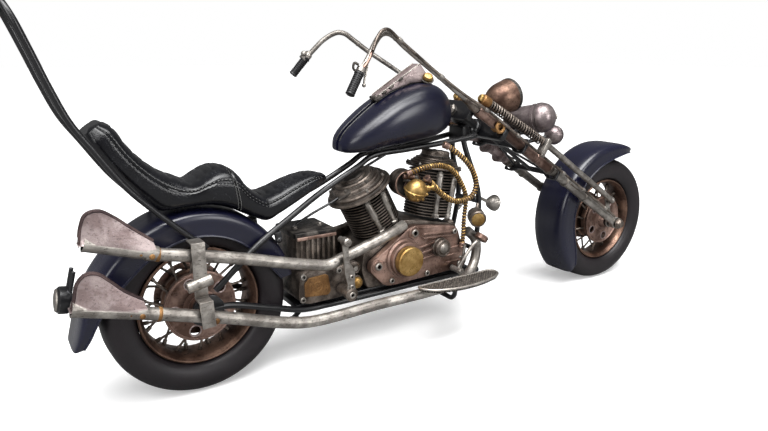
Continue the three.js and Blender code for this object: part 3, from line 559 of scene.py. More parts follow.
def rubber(name, color_a, color_b, rough, depth=0.00005):
    """Dull black rubber with broad patches of two tones."""
    look = Look(name)
    broad = look.noise(60, 4, 0.6)
    fine = look.noise(1500, 3, 0.6)
    color = look.mix(look.span(broad, 0.35, 0.7), color_a, color_b)
    dull = look.span(fine, 0.3, 0.7, rough - 0.06, rough + 0.08)
    return look.finish(color, dull, fine, depth)


def seat_leather():
    """Black glossed skin with a pebbled grain, silver dry-brushed high spots and painted shade in its
    creases.
    """
    look = Look("seat_leather")
    pebble = look.new("ShaderNodeTexVoronoi", feature="DISTANCE_TO_EDGE")
    pebble.inputs["Scale"].default_value = 900
    look.link(look.place, pebble.inputs["Vector"])
    broad = look.noise(80, 4, 0.6)
    fine = look.noise(1400, 4, 0.7)
    color = look.mix(look.span(broad, 0.35, 0.7), tone(8, 8, 11), tone(15, 16, 21))
    brushed = look.maths("MULTIPLY", look.span(broad, 0.5, 0.62), look.span(fine, 0.56, 0.68, 0, 0.3))
    color = look.mix(brushed, color, tone(120, 122, 126))
    # Painted shade: ambient occlusion darkens the colour to near black in the seat's pleats, seams and
    # creases.
    color = look.mix(look.maths("MULTIPLY", look.recess(0.002), 0.8), color, tone(4, 4, 5))
    grain = look.maths("ADD", look.span(pebble.outputs["Distance"], 0, 0.12),
                       look.maths("MULTIPLY", fine, 0.6))
    dull = look.span(broad, 0.3, 0.7, 0.16, 0.3)
    return look.finish(color, dull, grain, 0.00002)


def lamp_glass():
    """A pale, glossy lamp face."""
    look = Look("lamp_glass")
    fine = look.noise(500, 3, 0.5)
    color = look.mix(look.span(fine, 0.4, 0.6), tone(200, 200, 195), tone(225, 226, 222))
    dull = look.span(fine, 0.3, 0.7, 0.08, 0.2)
    return look.finish(color, dull, fine, 0.00003, 0.3, Coat_Weight=1.0)


def chequered(name, light, dark):
    """Cross-hatched metal for the foot boards."""
    look = Look(name)
    heights = []
    for turn in (45, -45):
        place = look.new("ShaderNodeMapping")
        place.inputs["Rotation"].default_value = (0, 0, math.radians(turn))
        look.link(look.place, place.inputs["Vector"])
        wave = look.new("ShaderNodeTexWave", wave_type="BANDS", bands_direction="X")
        wave.inputs["Scale"].default_value = 260
        wave.inputs["Distortion"].default_value = 0.4
        look.link(place.outputs["Vector"], wave.inputs["Vector"])
        heights.append(wave.outputs["Fac"])
    net = look.maths("MAXIMUM", *heights)
    fine = look.noise(900, 4, 0.6)
    color = look.mix(look.maths("MULTIPLY", look.span(net, 0.6, 1.0),
                                look.span(fine, 0.35, 0.6)), dark, light)
    dull = look.span(fine, 0.3, 0.7, 0.35, 0.6)
    return look.finish(color, dull, net, 0.0003, 0.7)


NAVY = painted("navy_paint", tone(17, 18, 40), tone(84, 86, 104), 0.27, 0.35)
BLACK = painted("black_paint", tone(15, 15, 18), tone(112, 112, 116), 0.36, 0.7)
TYRE = rubber("tyre_rubber", tone(19, 15, 18), tone(30, 23, 27), 0.46)
GRIP = rubber("grip_rubber", tone(15, 15, 17), tone(32, 32, 34), 0.4)
LEATHER = seat_leather()
SILVER = aged_metal("aged_silver", tone(200, 194, 186), tone(134, 128, 122), tone(30, 26, 25), 0.36, 0.85,
                    wear=0.7, scratch=(0.5, 1, 1.2), blotch=0.85)
PINK_SILVER = aged_metal("rose_silver", tone(196, 180, 178), tone(146, 128, 126), tone(48, 38, 40), 0.42, 0.7,
                         scratch=(0.7, 1, 1.2), blotch=0.7)
PEWTER = aged_metal("dark_pewter", tone(156, 144, 134), tone(76, 68, 62), tone(18, 15, 14), 0.38,
                    0.8, blotch=0.7)
IRON = aged_metal("black_iron", tone(112, 106, 100), tone(24, 22, 22), tone(8, 7, 7), 0.42, 0.65)
COPPER = aged_metal("copper_wash", tone(198, 166, 152), tone(98, 75, 65), tone(24, 17, 15), 0.38, 0.8, 50,
                    blotch=0.7)
BRONZE = aged_metal("bronze_wash", tone(160, 128, 110), tone(84, 63, 53), tone(20, 15, 14), 0.38, 0.8,
                    60, blotch=0.8)
BRASS = aged_metal("aged_brass", tone(200, 166, 106), tone(142, 108, 58), tone(46, 33, 18), 0.36,
                   0.85, blotch=0.8)
RUST = aged_metal("rust_brass", tone(172, 130, 82), tone(118, 84, 50), tone(40, 28, 18), 0.48,
                  0.65, blotch=0.8)
SMOKE = aged_metal("smoked_pewter", tone(184, 172, 170), tone(120, 108, 109), tone(56, 48, 49), 0.34, 0.8, 60,
                   blotch=0.4)
# Dark purple-brown for the fishtails' rolled lips, also used as painted shade in their slots and between a
# hose's turns of wire.
PURPLE = aged_metal("dark_edge_and_painted_shade", tone(104, 86, 84), tone(48, 36, 38), tone(16, 11, 13), 0.5, 0.6, blotch=0.6)
THREAD = aged_metal("silver_thread", tone(132, 132, 130), tone(84, 84, 86), tone(24, 24, 26), 0.5, 0.4)
GLASS = lamp_glass()
HATCH = chequered("hatched_board", tone(150, 142, 132), tone(30, 26, 25))

# ------------------------------------------------------------------ wheels


SPOKES = 28
SPOKE_LEAD = 0.16
DISC_HOLES = 5
HOLE_CIRCLE = 11.8


def mirrored(half):
    """A turned outline from one half of it, whose last point is on the middle plane."""
    return half + [(radius, -y) for radius, y in reversed(half[:-1])]


def wheel(name, x, half_width, disc_y, hole_turn, body):
    """A tyre, its rim, crossed wire spokes on a collar, and a hub between two drilled discs."""
    centre = Vector((x, 0, AXLE_Z))
    across = Vector((x, 1, AXLE_Z))
    belly = [(27.9, 0.62), (29, 0.84), (32, 0.97), (35.4, 1.0), (38.4, 0.93), (40.4, 0.76), (41.4, 0.5)]
    side = smooth_rows([(radius, share * half_width) for radius, share in belly], 22)
    loop = mirrored([tuple(p) for p in side] + [(TYRE_RADIUS - 0.02, 0)])
    piece(f"{name}_tyre_skin", body, {TYRE: [lathe(loop, centre, across, 128)]},
          [f"{name}_tyre"])

    edge = 0.66 * half_width
    lip = [(27.6, edge), (27.5, edge + 0.7), (27.0, edge + 1.0), (26.4, edge + 0.8), (26.1, edge + 0.1),
           (25.6, edge - 0.6), (24.9, edge - 2.2), (24.5, 2.2), (24.4, 0)]
    shapes = [lathe([(27.6, 0)] + mirrored(lip), centre, across, 112)]
    shapes += [ring((x, turn * (edge + 0.7), AXLE_Z), (0, 1, 0), 26.8, 0.45, 112) for turn in (-1, 1)]
    piece(f"{name}_rim_band", body, {BRONZE: shapes}, [f"{name}_rim"])

    spokes = []
    for i in range(SPOKES):
        turn = 1 if i % 2 else -1
        angle = 2 * math.pi * i / SPOKES
        lead = angle + turn * SPOKE_LEAD
        foot = centre + Vector((13.4 * math.sin(lead), turn * 4.2, 13.4 * math.cos(lead)))
        head = centre + Vector((24.7 * math.sin(angle), turn * 1.4, 24.7 * math.cos(angle)))
        out = (head - foot).normalized()
        spokes += [rod(foot, head, 0.62, 8), rod(head - out * 2.6, head - out * 0.1, 1.0, 8)]
    collar = lathe([(8.2, -5), (8.2, 5), (14.2, 5), (14.6, 4.4), (14.6, 2), (11, 1), (11, -1), (14.6, -2),
                    (14.6, -4.4), (14.2, -5)], centre, across, 64)
    piece(f"{name}_spokes", body, {PEWTER: spokes, BRONZE: [collar]})

    angles = [2 * math.pi * (i + hole_turn) / DISC_HOLES for i in range(DISC_HOLES)]
    holes = [(x + HOLE_CIRCLE * math.sin(a), AXLE_Z + HOLE_CIRCLE * math.cos(a)) for a in angles]
    shapes = []
    for turn in (-1, 1):
        low, high = sorted((turn * (disc_y - 1.2), turn * disc_y))
        outlines = [circle(x, AXLE_Z, 16.5, 72), circle(x, AXLE_Z, 7, 40)]
        outlines += [circle(*hole, 2.3, 28) for hole in holes]
        shapes.append(plate(outlines, low, high, 0.25))
        shapes.append(ring((x, turn * (disc_y - 0.05), AXLE_Z), (0, 1, 0), 15.6, 0.35, 72))
    rims = [ring((u, turn * (disc_y - 0.05), v), (0, 1, 0), 2.55, 0.28, 28)
            for u, v in holes for turn in (-1, 1)]
    hub = [(2.7, -12.3), (4.3, -12.3), (4.7, -11.8), (5.6, -disc_y - 0.5), (7.7, -disc_y), (7.7, disc_y),
           (5.6, disc_y + 0.5), (4.7, 11.8), (4.3, 12.3), (2.7, 12.3)]
    shapes.append(lathe(hub, centre, across, 48))
    piece(f"{name}_discs", body, {COPPER: shapes, PINK_SILVER: rims}, [f"{name}_hub"])


wheel("rear", 0, 12.2, 9, 0.72, "rear_wheel")
wheel("front", WHEELBASE, 10.6, 8.4, 0.35, "front_wheel")


def axle(name, x, plate_y, end_y, body):
    """An axle with a washer, a nut and a domed end on each side."""
    shapes = [rod((x, -end_y, AXLE_Z), (x, end_y, AXLE_Z), 2.2, 24)]
    for turn in (-1, 1):
        face = (x, turn * plate_y, AXLE_Z)
        shapes.append(turned_across([(3.1, 0), (3.1, 1.2), (2.6, 1.9)], face, turn, 6))
        shapes.append(turned_across([(3.6, 0), (3.6, 0.5)], face, turn, 32))
        shapes.append(ball((x, turn * (end_y - 0.6), AXLE_Z), 2.3, (0, turn, 0), 0.25))
    piece(f"{name}_axle_nuts", body, {PEWTER: shapes}, [f"{name}_axle"])


axle("rear", 0, 18.3, 21, "chassis")
axle("front", WHEELBASE, 21.2, 24, "fork")

# ------------------------------------------------------------------ frame


def downtube(side):
    """One of the two tubes from the neck down past the engine's front."""
    return tube([(155, side * 3.4, 112), (154.8, side * 5, 104), (157.1, side * 7, 94.4),
                 (161, side * 8.2, 84), (163.8, side * 9, 73), (163.2, side * 10.2, 60),
                 (161, side * 11.4, 46), (158.8, side * 12.9, 33.4)], 1.55, 60)


neck = turned([(3.6, 0), (4.6, 1), (4.6, 2.4), (4.0, 3), (4.0, 13.4), (4.6, 14), (4.6, 15.6), (3.6, 16.8)],
              on_fork(130.5, -3, 0), on_fork(148, -3, 0), 40)
gusset = plate([rounded([(152.6, 104), (158.4, 104.6), (157.6, 113), (152.8, 113)], 1.4)], -6.2, 6.2, 0.5)
cross_ties = [rod((162.4, -9, 70), (162.4, 9, 70), 1.4), rod((160.2, -11, 42), (160.2, 11, 42), 1.4)]
steering_stop = ball(on_fork(135, -6.2, -3.4), 1.8, (0, -1, 0))
piece("neck_frame", "chassis", {BLACK: [neck, gusset, downtube(-1), downtube(1), steering_stop, *cross_ties]},
      ["neck_and_downtubes"])

for name, side in SIDES:
    rail = tube([(5, side * 16.1, 50.6), (26, side * 16.1, 68.4), (46, side * 10.5, 78), (64, side * 5.2, 86),
                 (86, side * 4.4, 96.8), (94, side * 4.4, 101.2), (117, side * 5, 103.2),
                 (137, side * 6.4, 104.9), (160.5, side * 8.6, 107.8)], 1.5, 100)
    lug = [bar((36, side * 14.9, 72.6), (36.6, side * 14.9, 68.6), 2.2, 3),
           ball((36.6, side * 15, 68.6), 1.6, (0, 1, 0))]
    piece(f"upper_rail_{name}_tube", "chassis", {BLACK: [rail, *lug]}, [f"upper_rail_{name}"])
    rail = tube([(-1, side * 16.1, AXLE_Z), (10, side * 16.1, 42.4), (30, side * 15.6, 36.6),
                 (48, side * 14.3, 31), (62, side * 13.5, 30), (110, side * 13.5, 30),
                 (161, side * 13.5, 30)], 1.55, 90)
    dropout = plate([rounded([(-7, 38), (0, 34.5), (7, 37), (9, 44), (4, 50), (-5, 47.5)], 3),
                     circle(0, AXLE_Z, 2.5, 20)], *sorted((side * 14.9, side * 17.5)), 0.4)
    shapes = [rail, dropout]
    if side > 0:
        shapes.append(block(71, 78, 13, 16.6, 25.4, 29.4, 0.6))
    piece(f"lower_rail_{name}_tube", "chassis", {BLACK: shapes}, [f"lower_rail_{name}"])

BED_TIES = (52, 80, 152)
plate_shapes = [block(46, 156, -11.2, 11.2, 29.6, 32.4, 0.5)]
plate_shapes += [bar((x, -13.4, 30), (x, 13.4, 30), 3.2, 1.8, 0.3, (1, 0, 0)) for x in BED_TIES]
plate_bolts = [part for x in BED_TIES for part in hex_bolt((x, -8.4, 32.4), (0, 0, 1))]
piece("engine_bed", "chassis", {BLACK: plate_shapes, SILVER: plate_bolts}, ["engine_plate"])

# ------------------------------------------------------------------ fenders


FENDER_ROWS = 120
FENDER_SHEET = 1.0


def fender_skin(x, z, half_width, stations):
    """A rolled mudguard about (x, z). Each station is its angle, its crown's and its edge's radius, and
    its share of the half width."""
    profile = [(-1, 1), (-1, 0.66), (-1, 0.32), (-0.9, 0.12), (-0.62, 0.02), (-0.3, 0), (0, 0),
               (0.3, 0), (0.62, 0.02), (0.9, 0.12), (1, 0.32), (1, 0.66), (1, 1)]
    across = smooth_rows(profile, 49)

    def grid(inset):
        out = []
        for degrees, crown, edge, share in smooth_rows(stations, FENDER_ROWS):
            angle = math.radians(degrees)
            row = []
            for reach, drop in across:
                radius = crown - inset - drop * (crown - inset - edge)
                row.append(Vector((x + radius * math.cos(angle), reach * (half_width * share - inset),
                                   z + radius * math.sin(angle))))
            out.append(row)
        return out

    outer = grid(0)
    shape = sheet_metal(outer, grid(FENDER_SHEET))
    rolled = [sweep([row[end] for row in outer][::2], 0.55, 8) for end in (0, -1)]
    return [shape, *rolled]


rear_stations = [(11, 45.2, 38.5, 1), (24, 45.2, 35.2, 1), (42, 45.2, 33.8, 1), (60, 45.2, 33.8, 1),
                 (78, 45.2, 33.8, 1), (96, 45.2, 33.8, 1), (113, 45.2, 33.8, 1), (128, 45.4, 34.2, 1),
                 (144, 46.2, 35.4, 1), (158, 47.6, 38, 1), (170, 49.3, 41.8, 1), (178, 50.6, 44.6, 0.97),
                 (184, 52.2, 47, 0.9), (189, 54.2, 50, 0.76)]
piece("rear_mudguard", "chassis", {NAVY: fender_skin(0, AXLE_Z, 13.7, rear_stations)},
      ["rear_fender"])
front_stations = [(60, 48.6, 46.8, 0.42), (66, 49, 45.4, 0.76), (74, 49, 43.4, 0.94), (84, 49, 40.8, 1),
                  (98, 49, 38.6, 1), (114, 49, 37.6, 1), (130, 49, 37.2, 1), (146, 49, 37, 1),
                  (162, 49, 36.6, 1), (178, 49, 36.2, 1), (194, 49.2, 36, 1), (208, 49.4, 37.2, 1),
                  (219, 49.6, 40, 0.98), (225, 49.6, 43.2, 0.93)]
piece("front_mudguard", "fork",
      {NAVY: fender_skin(WHEELBASE + 2.4, AXLE_Z + 3.2, 12.5, front_stations)},
      ["front_fender"])

# ------------------------------------------------------------------ seat

# Stations along the seat: top x, top z, bottom x, bottom z, half width.
seat_stations = [(-33, 126.2, -39.6, 121.6, 9), (-28.4, 123.6, -38, 116, 12),
                 (-23.4, 115.6, -32.6, 108, 13.2), (-17.8, 109.2, -27.4, 101, 13.4),
                 (-11.4, 104, -21.2, 94, 13.6), (-4.8, 100.8, -14.4, 87.8, 13.7), (0.6, 98.6, -4.2, 88, 14),
                 (6, 101.2, 3, 88, 15), (11.2, 103.6, 9, 87.2, 15.2), (16.4, 103.6, 14.4, 85.6, 15.2),
                 (20.6, 100.8, 18.6, 83.8, 15), (24, 95.8, 22.6, 81.6, 14.4), (28.2, 91.8, 28, 78.8, 13.6),
                 (33, 89.2, 34, 76.4, 12.8), (39.4, 90.4, 40.4, 78.8, 12), (46.4, 93, 47.4, 81.8, 11),
                 (54, 95.2, 55.4, 85.4, 9.6), (61, 96, 62.6, 89, 7.8), (67, 94.6, 67.6, 91.8, 5)]
SEAT_ROWS, SEAT_COLUMNS = 220, 88
seat_rows = smooth_rows(seat_stations, SEAT_ROWS)
SEAM_UP = 0.70
PLEATS = 26
SIDE_ROUND, TOP_ROUND = 0.6, 0.66
STITCH_LIFT = 0.12
STITCH_STEP, STITCH_LENGTH, STITCH_RADIUS = 1.5, 0.8, 0.1


def dent(distance, width):
    """A smooth groove: 1 at its middle, fading out over its width."""
    return math.exp(-(distance / width) ** 2)


def seat_point(row, angle, share, lift=0.0):
    """A point of the seat skin: angle goes round the section, share runs along the seat."""
    top_x, top_z, low_x, low_z, half_width = row
    c, s = math.cos(angle), math.sin(angle)
    across = math.copysign(abs(c) ** SIDE_ROUND, c)
    up = 0.5 + 0.5 * math.copysign(abs(s) ** TOP_ROUND, s)
    point = Vector((low_x + up * (top_x - low_x), across * half_width, low_z + up * (top_z - low_z)))
    centre = Vector(((top_x + low_x) / 2, 0, (top_z + low_z) / 2))
    out = (point - centre).normalized()
    push = lift
    if up > 0.5:
        push -= 0.55 * dent(up - SEAM_UP, 0.035)
    if s > 0:
        pleat = (share * PLEATS) % 1 - 0.5
        crest = max(0.0, 1 - (abs(across) / 0.8) ** 2)
        buttons = dent(abs(across) - 0.42, 0.16)
        push -= (0.35 * dent(pleat, 0.1) + 0.7 * dent(pleat, 0.2) * buttons) * min(1, crest * 2)
        push += 0.25 * crest
    push -= 0.6 * dent(share - hump_share(up), 0.006)
    return point + out * push


def hump_share(up):
    """Where the seam between the two seats crosses the skin at a height."""
    return 0.5 + 0.075 * (1 - up)


seat_rings = []
for i, row in enumerate(seat_rows):
    share = i / (SEAT_ROWS - 1)
    seat_rings.append([seat_point(row, 2 * math.pi * (k + 0.5) / SEAT_COLUMNS, share)
                       for k in range(SEAT_COLUMNS)])
seat_skin = piece("seat_cover", "chassis", {LEATHER: [skin(seat_rings)]}, ["seat"], 60)


def seam_angle(side, up):
    """The angle round the section at which the skin is at a share of its height."""
    lean = math.copysign(math.asin(abs(2 * up - 1) ** (1 / TOP_ROUND)), 2 * up - 1)
    return lean if side > 0 else math.pi - lean


def stitch(start, step):
    """One stitch of thread lying on the seat."""
    return rod(start, start + step, STITCH_RADIUS, 6, 0.03)


stitches = []
for _, side in SIDES:
    for up in (SEAM_UP - 0.055, SEAM_UP + 0.05):
        line = [seat_point(seat_rows[i], seam_angle(side, up), i / (SEAT_ROWS - 1), STITCH_LIFT)
                for i in range(8, SEAT_ROWS - 8)]
        walked = 0.0
        for p, q in zip(line, line[1:]):
            walked += (q - p).length
            if walked > STITCH_STEP:
                walked = 0.0
                stitches.append(stitch(p, (q - p).normalized() * STITCH_LENGTH))
    for gap in (-0.009, 0.009):
        for i in range(1, 40):
            up = 0.98 - 0.9 * i / 40
            share = hump_share(up) + gap
            row = seat_rows[round(share * (SEAT_ROWS - 1))]
            p = seat_point(row, seam_angle(side, up), share, STITCH_LIFT)
            stitches.append(stitch(p + Vector((0, 0, 0.3)), Vector((0, 0, -0.6))))
piece("seat_stitching", "chassis", {THREAD: stitches})

# ------------------------------------------------------------------ tank

tank_stations = [(76.4, 108.8, 105, 5.2), (79.4, 113.6, 104, 9.6), (85.6, 119, 103.8, 13.6),
                 (95.6, 126.2, 104.6, 16.6), (107, 132.6, 106, 18), (120, 136.6, 107.4, 18),
                 (130.6, 136.8, 108.6, 16.2), (137.6, 133.4, 110.6, 12.6), (142, 128.4, 113, 8.8),
                 (144.4, 123, 116.4, 5)]
for name, side in SIDES:
    rings, bead = [], []
    for x, top, low, half_width in smooth_rows(tank_stations, 110):
        middle, half = (top + low) / 2, (top - low) / 2
        section = []
        for i in range(37):
            angle = math.pi * i / 36 - math.pi / 2
            across = max(math.cos(angle), 0) ** 0.72
            up = math.copysign(abs(math.sin(angle)) ** 0.86, math.sin(angle))
            section.append(Vector((x, side * (1.2 + across * (half_width - 1.2)), middle + up * half)))
        rings.append(section)
        bead.append(Vector((x, side * 1.7, top + 0.15)))
    edge = sweep(bead[4:-6:2], 0.5, 8)
    piece(f"tank_shell_{name}", "chassis", {NAVY: [skin(rings)], BLACK: [edge]},
          [f"tank_{name}"], 50)

console = plate([rounded([(98.6, 129.6), (107, 133.8), (119, 137.4), (130.6, 138), (132.3, 137.7),
                          (124.8, 147.2), (115.5, 141.6), (104.6, 134.9), (98.6, 131.4)], 0.5)],
                -3.5, 3.5, 0.3)
fold = [sweep(spline([(99.2, y, 131.9), (104.6, y, 135.2), (115.5, y, 141.8), (124.6, y, 147.1)], 40), 0.3, 8)
        for y in (-3.3, 3.3)]
tabs = [bar((x, -3.8, z), (x + 2.2, -3.8, z + 1.5), 1.6, 1.2)
        for x, z in ((101, 132.4), (105.4, 135), (111, 138.6))]
latch = [bar((97.2, y, 129), (100.2, y, 131.4), 2.0, 2.0) for y in (-2.8, 0.6)]
latch += [rod((97.6, -3.9, 130.6), (97.6, 2.4, 130.6), 0.8)]
cap = lathe([(0, 0), (2.4, 0), (2.8, 0.6), (2.8, 1.8), (2.2, 2.8), (0, 3.2)], (129.2, -3.8, 139),
            (128.6, -6.2, 141.8), 28)
cap_ring = ring((129.1, -3.9, 139.2), (-0.15, -0.6, 0.7), 3.1, 0.5, 32)
piece("tank_console_plate", "chassis", {PINK_SILVER: [console], SILVER: fold, IRON: [*tabs, *latch, cap_ring],
                                        BRASS: [cap]}, ["tank_console"])

# ------------------------------------------------------------------ engine

BANKS = {"rear": (Vector((99.3, 0, 63.7)), math.radians(-27.4)),
         "front": (Vector((133.4, 0, 63.9)), math.radians(8.8))}
BARREL = {"rear": 22, "front": 26.6}
FIN_PITCH = 1.7
HEAD_GAP = 0.3


def up(bank, height, forward=0.0, y=0.0):
    """A point of a cylinder bank: height along its axis, forward across it."""
    base, lean = BANKS[bank]
    axis = Vector((math.sin(lean), 0, math.cos(lean)))
    return base + axis * height + Vector((axis.z, 0, -axis.x)) * forward + Vector((0, y, 0))


def on_bank(bank, profile, segments=72):
    """A profile turned about a bank's own axis, from its base up."""
    return lathe(profile, up(bank, 0), up(bank, 1), segments)


def bank_axis(bank):
    """The direction of a bank, as a vector 1 mm long."""
    return up(bank, 1) - up(bank, 0)


def barrel(bank):
    """A finned cylinder with its two pushrod tubes on the right."""
    height = BARREL[bank]
    fins = round(height / FIN_PITCH)
    pitch = (height - 0.8) / fins
    profile, rims = [(0, 0.4), (12, 0.4)], []
    for i in range(fins):
        start = 0.5 + i * pitch
        profile += [(11.2, start), (13.3, start + 0.25), (13.3, start + 0.75), (11.2, start + 1.0)]
        rims.append(on_bank(bank, [(13.2, start + 0.2), (13.6, start + 0.32), (13.6, start + 0.68),
                                   (13.2, start + 0.8)]))
    profile += [(11.2, height), (0, height)]
    tubes, collars = [], []
    for forward in (-5.0, 5.4):
        y = -math.sqrt(13.4 ** 2 - forward ** 2) - 0.5
        low, high = up(bank, 0.8, forward * 0.82, y), up(bank, height - 0.3, forward, y)
        run = (high - low).length
        tubes.append(turned([(1.3, 0), (1.3, run * 0.45), (1.8, run * 0.46), (1.8, run * 0.86),
                             (1.3, run * 0.9), (1.3, run)], low, high, 20))
        for share, size in ((0.02, 2.2), (0.44, 1.9), (0.88, 2.0)):
            nut = [(0, 0), (size, 0), (size, 1.3), (size * 0.8, 1.7), (0, 1.7)]
            collars.append(lathe(nut, low.lerp(high, share), high, 6))
    piece(f"{bank}_barrel", "chassis",
          {IRON: [on_bank(bank, profile)], PEWTER: rims, SILVER: [*tubes, *collars]},
          [f"{bank}_cylinder"])


def bolt_circle(bank, height, forward, across, first, radius, size):
    """Six bolts round a bank's axis, the first one at an angle of first degrees."""
    bolts = []
    for degrees in range(first, first + 360, 60):
        turn = math.radians(degrees)
        spot = up(bank, height, forward * math.cos(turn), across * math.sin(turn))
        bolts += hex_bolt(spot, bank_axis(bank), radius, size)
    return bolts


def head(bank, profile, dark, bolts):
    """A cylinder head, its profile given from the head's own base."""
    base = BARREL[bank] + HEAD_GAP
    dome = on_bank(bank, [(radius, base + rise) for radius, rise in profile])
    piece(f"{bank}_head_dome", "chassis", {PEWTER: [dome], IRON: dark, SILVER: bolts},
          [f"{bank}_head"])


def rear_head():
    """A wide stepped head with a ring of bolts, and thin dark rings of painted shade in the corners of its
    steps.
    """
    base = BARREL["rear"] + HEAD_GAP
    profile = [(0, 0), (17.3, 0), (17.7, 0.4), (17.5, 1.2), (15.6, 1.5), (15.8, 3.2), (15.4, 3.8), (14.4, 4),
               (13.4, 4.2), (13.2, 5.8), (12.8, 6.3), (11.4, 6.5), (10.6, 6.7), (10.4, 8), (9.8, 8.4),
               (8.6, 7.8), (7.2, 7.8), (6.9, 8.9), (4.4, 9.2), (0, 9.2)]
    dark = [on_bank("rear", [(0, base + 9), (5.6, base + 9), (5.4, base + 9.4), (3.6, base + 9.7),
                             (0, base + 9.8)], 40)]
    dark += bolt_circle("rear", base + 6.5, 11.6, 11.6, 35, 0.9, 1.1)
    # Painted shade: thin dark rings laid in the corners of the steps.
    dark += [ring(up("rear", base + rise), bank_axis("rear"), radius, 0.3, 72)
             for radius, rise in ((15.7, 1.6), (13.3, 4.3), (10.5, 6.8), (7.1, 7.9))]
    dark += [bar(up("rear", base + 4, -14, -4), up("rear", base + 6.4, -8, -8.6), 3, 1.5)]
    head("rear", profile, dark, bolt_circle("rear", base + 3.6, 14.6, 14.9, 20, 0.8, 1.2))


def front_head():
    """A finned head with a tall neck on it, and a thin dark ring of painted shade in the corner at the neck's
    foot.
    """
    base = BARREL["front"] + HEAD_GAP
    profile = [(0, 0), (15.2, 0), (15.8, 0.4), (15.6, 1), (14.2, 1.4), (14.4, 1.7), (14.4, 2.2), (13, 2.5),
               (13.2, 2.8), (13.2, 3.3), (11.8, 3.6), (12, 3.9), (12, 4.4), (10.6, 4.7), (10.8, 5),
               (10.6, 5.5), (9.4, 5.8), (8.4, 6.2), (8, 6.6), (7.8, 9.2), (7.3, 9.8), (6, 9.8), (5.8, 9.4),
               (0, 9.4)]
    # Painted shade: a thin dark ring laid in the corner at the foot of the neck.
    dark = [ring(up("front", base + 6.6), bank_axis("front"), 8.1, 0.4)]
    dark += bolt_circle("front", base + 9.3, 4.2, 4.2, 0, 0.8, 0.8)
    dark += [bar(up("front", base + 0.8, -14, -3), up("front", base + 2.2, -21, -5), 5, 0.9, 0.2,
                 (0, 1, 0.2))]
    head("front", profile, dark, bolt_circle("front", base + 1.4, 14.6, 14.9, 20, 0.8, 1.2))


for bank, make_head in (("rear", rear_head), ("front", front_head)):
    barrel(bank)
    make_head()

case = plate([rounded([(86, 33), (146, 33), (149, 38), (143, 60.4), (113.8, 66.6), (107.6, 67.4),
                       (84.4, 55.4), (82.4, 44)], 3)], -12.8, 12.8, 0.8)
case_fins = [bar((88 + 8 * i, -11, 32.9), (88 + 8 * i, 11, 32.9), 1.4, 1.2, 0.2, (1, 0, 0)) for i in range(7)]
inlet = turned([(6.4, 0), (6.4, 3.6), (5.4, 4.2), (5.4, 8)], (143.4, 0, 52), (152, 0, 55), 40)
piece("crankcase_body", "chassis", {PEWTER: [case, *case_fins, inlet]}, ["crankcase"])

cover_outline = rounded([(94, 34.4), (100, 33.8), (147, 35.2), (149.4, 38), (142, 58.6), (139, 60.6),
                         (113, 64.6), (108.6, 63.4), (85.6, 48.2), (85, 44)], 2.6, 5)
COVER_EYES = ((112.2, 60.6), (89.6, 46.2))
cover = plate([cover_outline, *[circle(x, z, 1.7, 20) for x, z in COVER_EYES]], -17.4, -13.3, 0.5)
lands = [lathe_across([(1.7, 0), (3.4, 0), (3.4, 0.5), (3.0, 0.8), (1.7, 0.8)], (x, -17.3, z), -1, 28)
         for x, z in COVER_EYES]
eyes = [lathe_across([(1.2, 0), (2.1, 0), (2.1, 0.9), (1.7, 1.3), (1.2, 1.3)], (x, -17.7, z), -1, 28)
        for x, z in COVER_EYES]
drum = turned_across([(10.6, 0), (10.6, 1.2), (9.8, 2), (9.4, 2), (9.2, 4.2), (8.6, 4.5)],
                     (105.5, -17, 48), -1, 72)
boss = lathe_across([(0, 0), (5.6, 0), (5.2, 1.4), (4.9, 1.6), (4.9, 4), (4.2, 4.5), (3.4, 4.3), (2.2, 4.9),
                     (0, 5)], (129.5, -17, 50), -1)
boss_dome = ball((129.5, -21.6, 50), 2.6, (0, -1, 0), 0.35)
ribs = [bar((114.6, -17.6, z), (125.4, -17.6, z + 1.8), 1.8, 1.3) for z in (44.6, 48.2, 51.8)]
ribs += [bar((118, -17.6, 56.6 + i * 2.2), (138, -17.6, 55.4 + i * 2.2), 1.2, 0.9) for i in range(2)]
ribs += [bar((134, -17.6, 40 + i * 4), (144.4, -17.6, 40.6 + i * 4), 1.2, 0.9) for i in range(3)]
screws = sockets(((98, 36.8), (121, 36.6), (143.6, 38), (139.4, 57.4)), -17.3, -1)
piece("cam_cover_plate", "chassis", {COPPER: [cover, *lands, drum, *ribs], PEWTER: [boss],
                                     SILVER: [*eyes, boss_dome, *screws]}, ["cam_cover"])
disc = lathe_across([(0, 0), (7.6, 0), (7.8, 0.2), (7.8, 3.4), (7.3, 3.9), (0, 4.0)],
                    (105, -21.9, 48), -1, 72)
piece("cover_disc_brass", "chassis", {BRASS: [disc]}, ["cover_disc"])

primary_edge = arc(118, 49.4, 16.2, -90, 90, 24) + arc(66, 45.2, 12, 90, 270, 20)
primary = plate([primary_edge], 13.3, 19.4, 1.3)
ridge = sweep(spline([Vector((u, 19.2, v)) for u, v in
                      arc(118, 49.4, 13.4, -90, 90, 10) + arc(66, 45.2, 9.4, 90, 270, 10)], 90), 0.6, 8)
clutch = lathe_across([(0, 0), (8.8, 0), (8.8, 1), (8, 1.8), (6.8, 1.8), (6.2, 1.2), (0, 1.4)],
                      (66, 19.2, 45.2), 1, 56)
derby = lathe_across([(0, 0), (10.4, 0), (10.4, 0.8), (9.4, 1.6), (0, 1.9)], (118, 19.2, 49.4), 1, 56)
screws = sockets(((92, 59.6), (92, 36.4), (74, 55.6), (74, 36), (104, 37.4), (104, 62.2), (131.4, 49.4),
                  (56.4, 45.2)), 19.2, 1, 1.3)
piece("primary_case", "chassis", {PEWTER: [primary, ridge], COPPER: [clutch, derby], SILVER: screws},
      ["primary_cover"])

